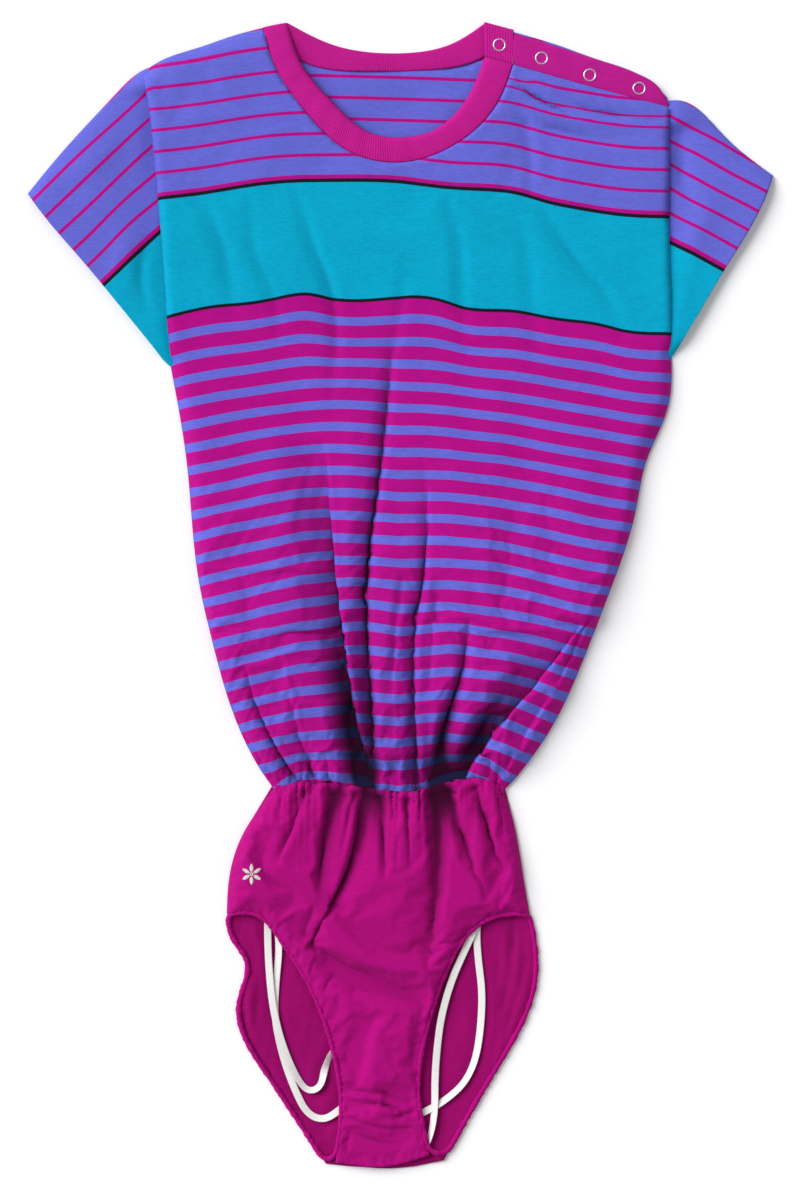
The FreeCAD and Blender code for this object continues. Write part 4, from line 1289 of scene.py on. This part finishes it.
def ribbed(name, colour):
    r = Recipe(name, 0.85, **FUZZ)
    rib, across = r.wave(r.number("along"), 2.2), r.number("across")
    shade = r.steps(rib, -1.0, 1.0, 0.0, 0.35)
    base = r.mix(shade, colour, tuple(c * 0.72 for c in colour[:3]) + (1.0,))
    edge = r.steps(r.off(across, 0.045), 0.0, 0.03, 0.45, 0.0)
    base = r.mix(edge, base, tuple(c * 0.4 for c in colour[:3]) + (1.0,))
    height = r.add(r.times(rib, 0.8), r.times(r.wave(across, 0.05), 0.2))
    return r.finish(heather(r, base, 0.10), height, 0.5)


def satin():
    r = Recipe("white_satin_tape", 0.42, Sheen_Weight=0.1, Specular_IOR_Level=0.5)
    along, across = r.number("along"), r.number("across")
    # painted shade: the tape's colour darkens towards its rounded edges
    edge_shade = r.steps(r.sum("ABSOLUTE", across), 0.78, 0.95, 0.0, 0.5)
    colour = r.mix(edge_shade, tone(234, 231, 230), tone(200, 192, 196))
    return r.finish(heather(r, colour, 0.05), r.add(r.wave(along, 0.7), r.wave(across, 0.16)), 0.25)


def metal():
    r = Recipe("brushed_snap_metal", 0.32, Metallic=1.0)
    brushed = r.noise(2.4, 5.0, (1.0, 0.12, 1.0))
    colour = r.mix(brushed, tone(208, 204, 226), tone(238, 236, 246))
    r.feed(r.shader.inputs["Roughness"], r.steps(brushed, 0.3, 0.7, 0.24, 0.42))
    return r.finish(colour, brushed, 0.12)


def thread(name, colour):
    r = Recipe(name, 0.5, Sheen_Weight=0.15)
    return r.finish(heather(r, colour, 0.1), r.wave(r.add(r.x, r.y), 0.45), 0.4)


def elastic_knit():
    r = Recipe("white_knitted_elastic", 0.7, Specular_IOR_Level=0.35)
    ribs = r.add(r.wave(r.x, 0.9), r.wave(r.y, 1.3))
    return r.finish(heather(r, tone(226, 222, 220), 0.08), ribs, 0.5)


METAL = metal()
finishes = {
    striped(): (front, back, right_sleeve, left_sleeve, underlap),
    # painted shade in the folds of the front brief
    plain("magenta_cotton_jersey", tone(169, 7, 117), painted_fold_shade=0.9): (
        front_brief, right_binding, left_binding, casing),
    # the wrong side of the knit, darker partly as painted shade for where the front brief shades it; its
    # folds get painted shade too
    plain("magenta_jersey_wrong_side_and_painted_shade", tone(150, 5, 99), 0.4, painted_fold_shade=0.7): (back_brief,),
    ribbed("magenta_rib_knit", tone(190, 26, 138)): (front_band, back_band, tab),
    plain("magenta_placket_jersey", tone(180, 26, 134)): (placket,),
    plain("pink_lining_jersey", tone(206, 60, 160), 0.25, 1.1): (lining,),
    satin(): (right_tape, left_tape),
    METAL: (rings,),
    thread("magenta_sewing_thread", tone(176, 20, 130)): (tack,),
    thread("cream_embroidery_thread", tone(240, 232, 226)): (motif,),
    elastic_knit(): (elastic, right_elastic, left_elastic),
}
for material, members in finishes.items():
    for piece in members:
        piece.data.materials.clear()
        piece.data.materials.append(material)
for name in ("snap_sockets", "snap_studs", "snap_back_rings"):
    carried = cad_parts[name].data.materials
    carried.clear()
    carried.append(METAL)


# ---------------------------------------------------------------- stage and light

bpy.ops.mesh.primitive_plane_add(size=8.0, location=(0.0, 0.0, 0.0))
floor = bpy.context.object
floor.name = "studio_floor"
paper = Recipe("pale_studio_paper", 0.9)
paper_colour = heather(paper, tone(250, 250, 252), 0.01)
floor.data.materials.append(paper.finish(paper_colour, paper.noise(0.3, 3.0), 0.05))

world = bpy.data.worlds.new("soft_white_room")
bpy.context.scene.world = world
world.use_nodes = True
sky = world.node_tree.nodes["Background"].inputs
sky["Color"].default_value = (1.0, 1.0, 1.0, 1.0)
sky["Strength"].default_value = 0.4


def lamp(name, kind, aim, power):
    light = bpy.data.objects.new(name, bpy.data.lights.new(name, kind))
    light.data.energy = power
    light.rotation_euler = Vector(aim).to_track_quat("-Z", "Y").to_euler()
    bpy.context.scene.collection.objects.link(light)
    return light


lamp("key_window", "SUN", (1.0, -0.62, -0.85), 3.4).data.angle = math.radians(45)
fill = lamp("fill_window", "AREA", (-1.6, 0.3, -2.2), 5)
fill.location = (1.6, -0.3, 2.2)
fill.data.size = 1.4
bpy.context.scene.view_settings.view_transform = "Standard"

bpy.context.view_layer.update()
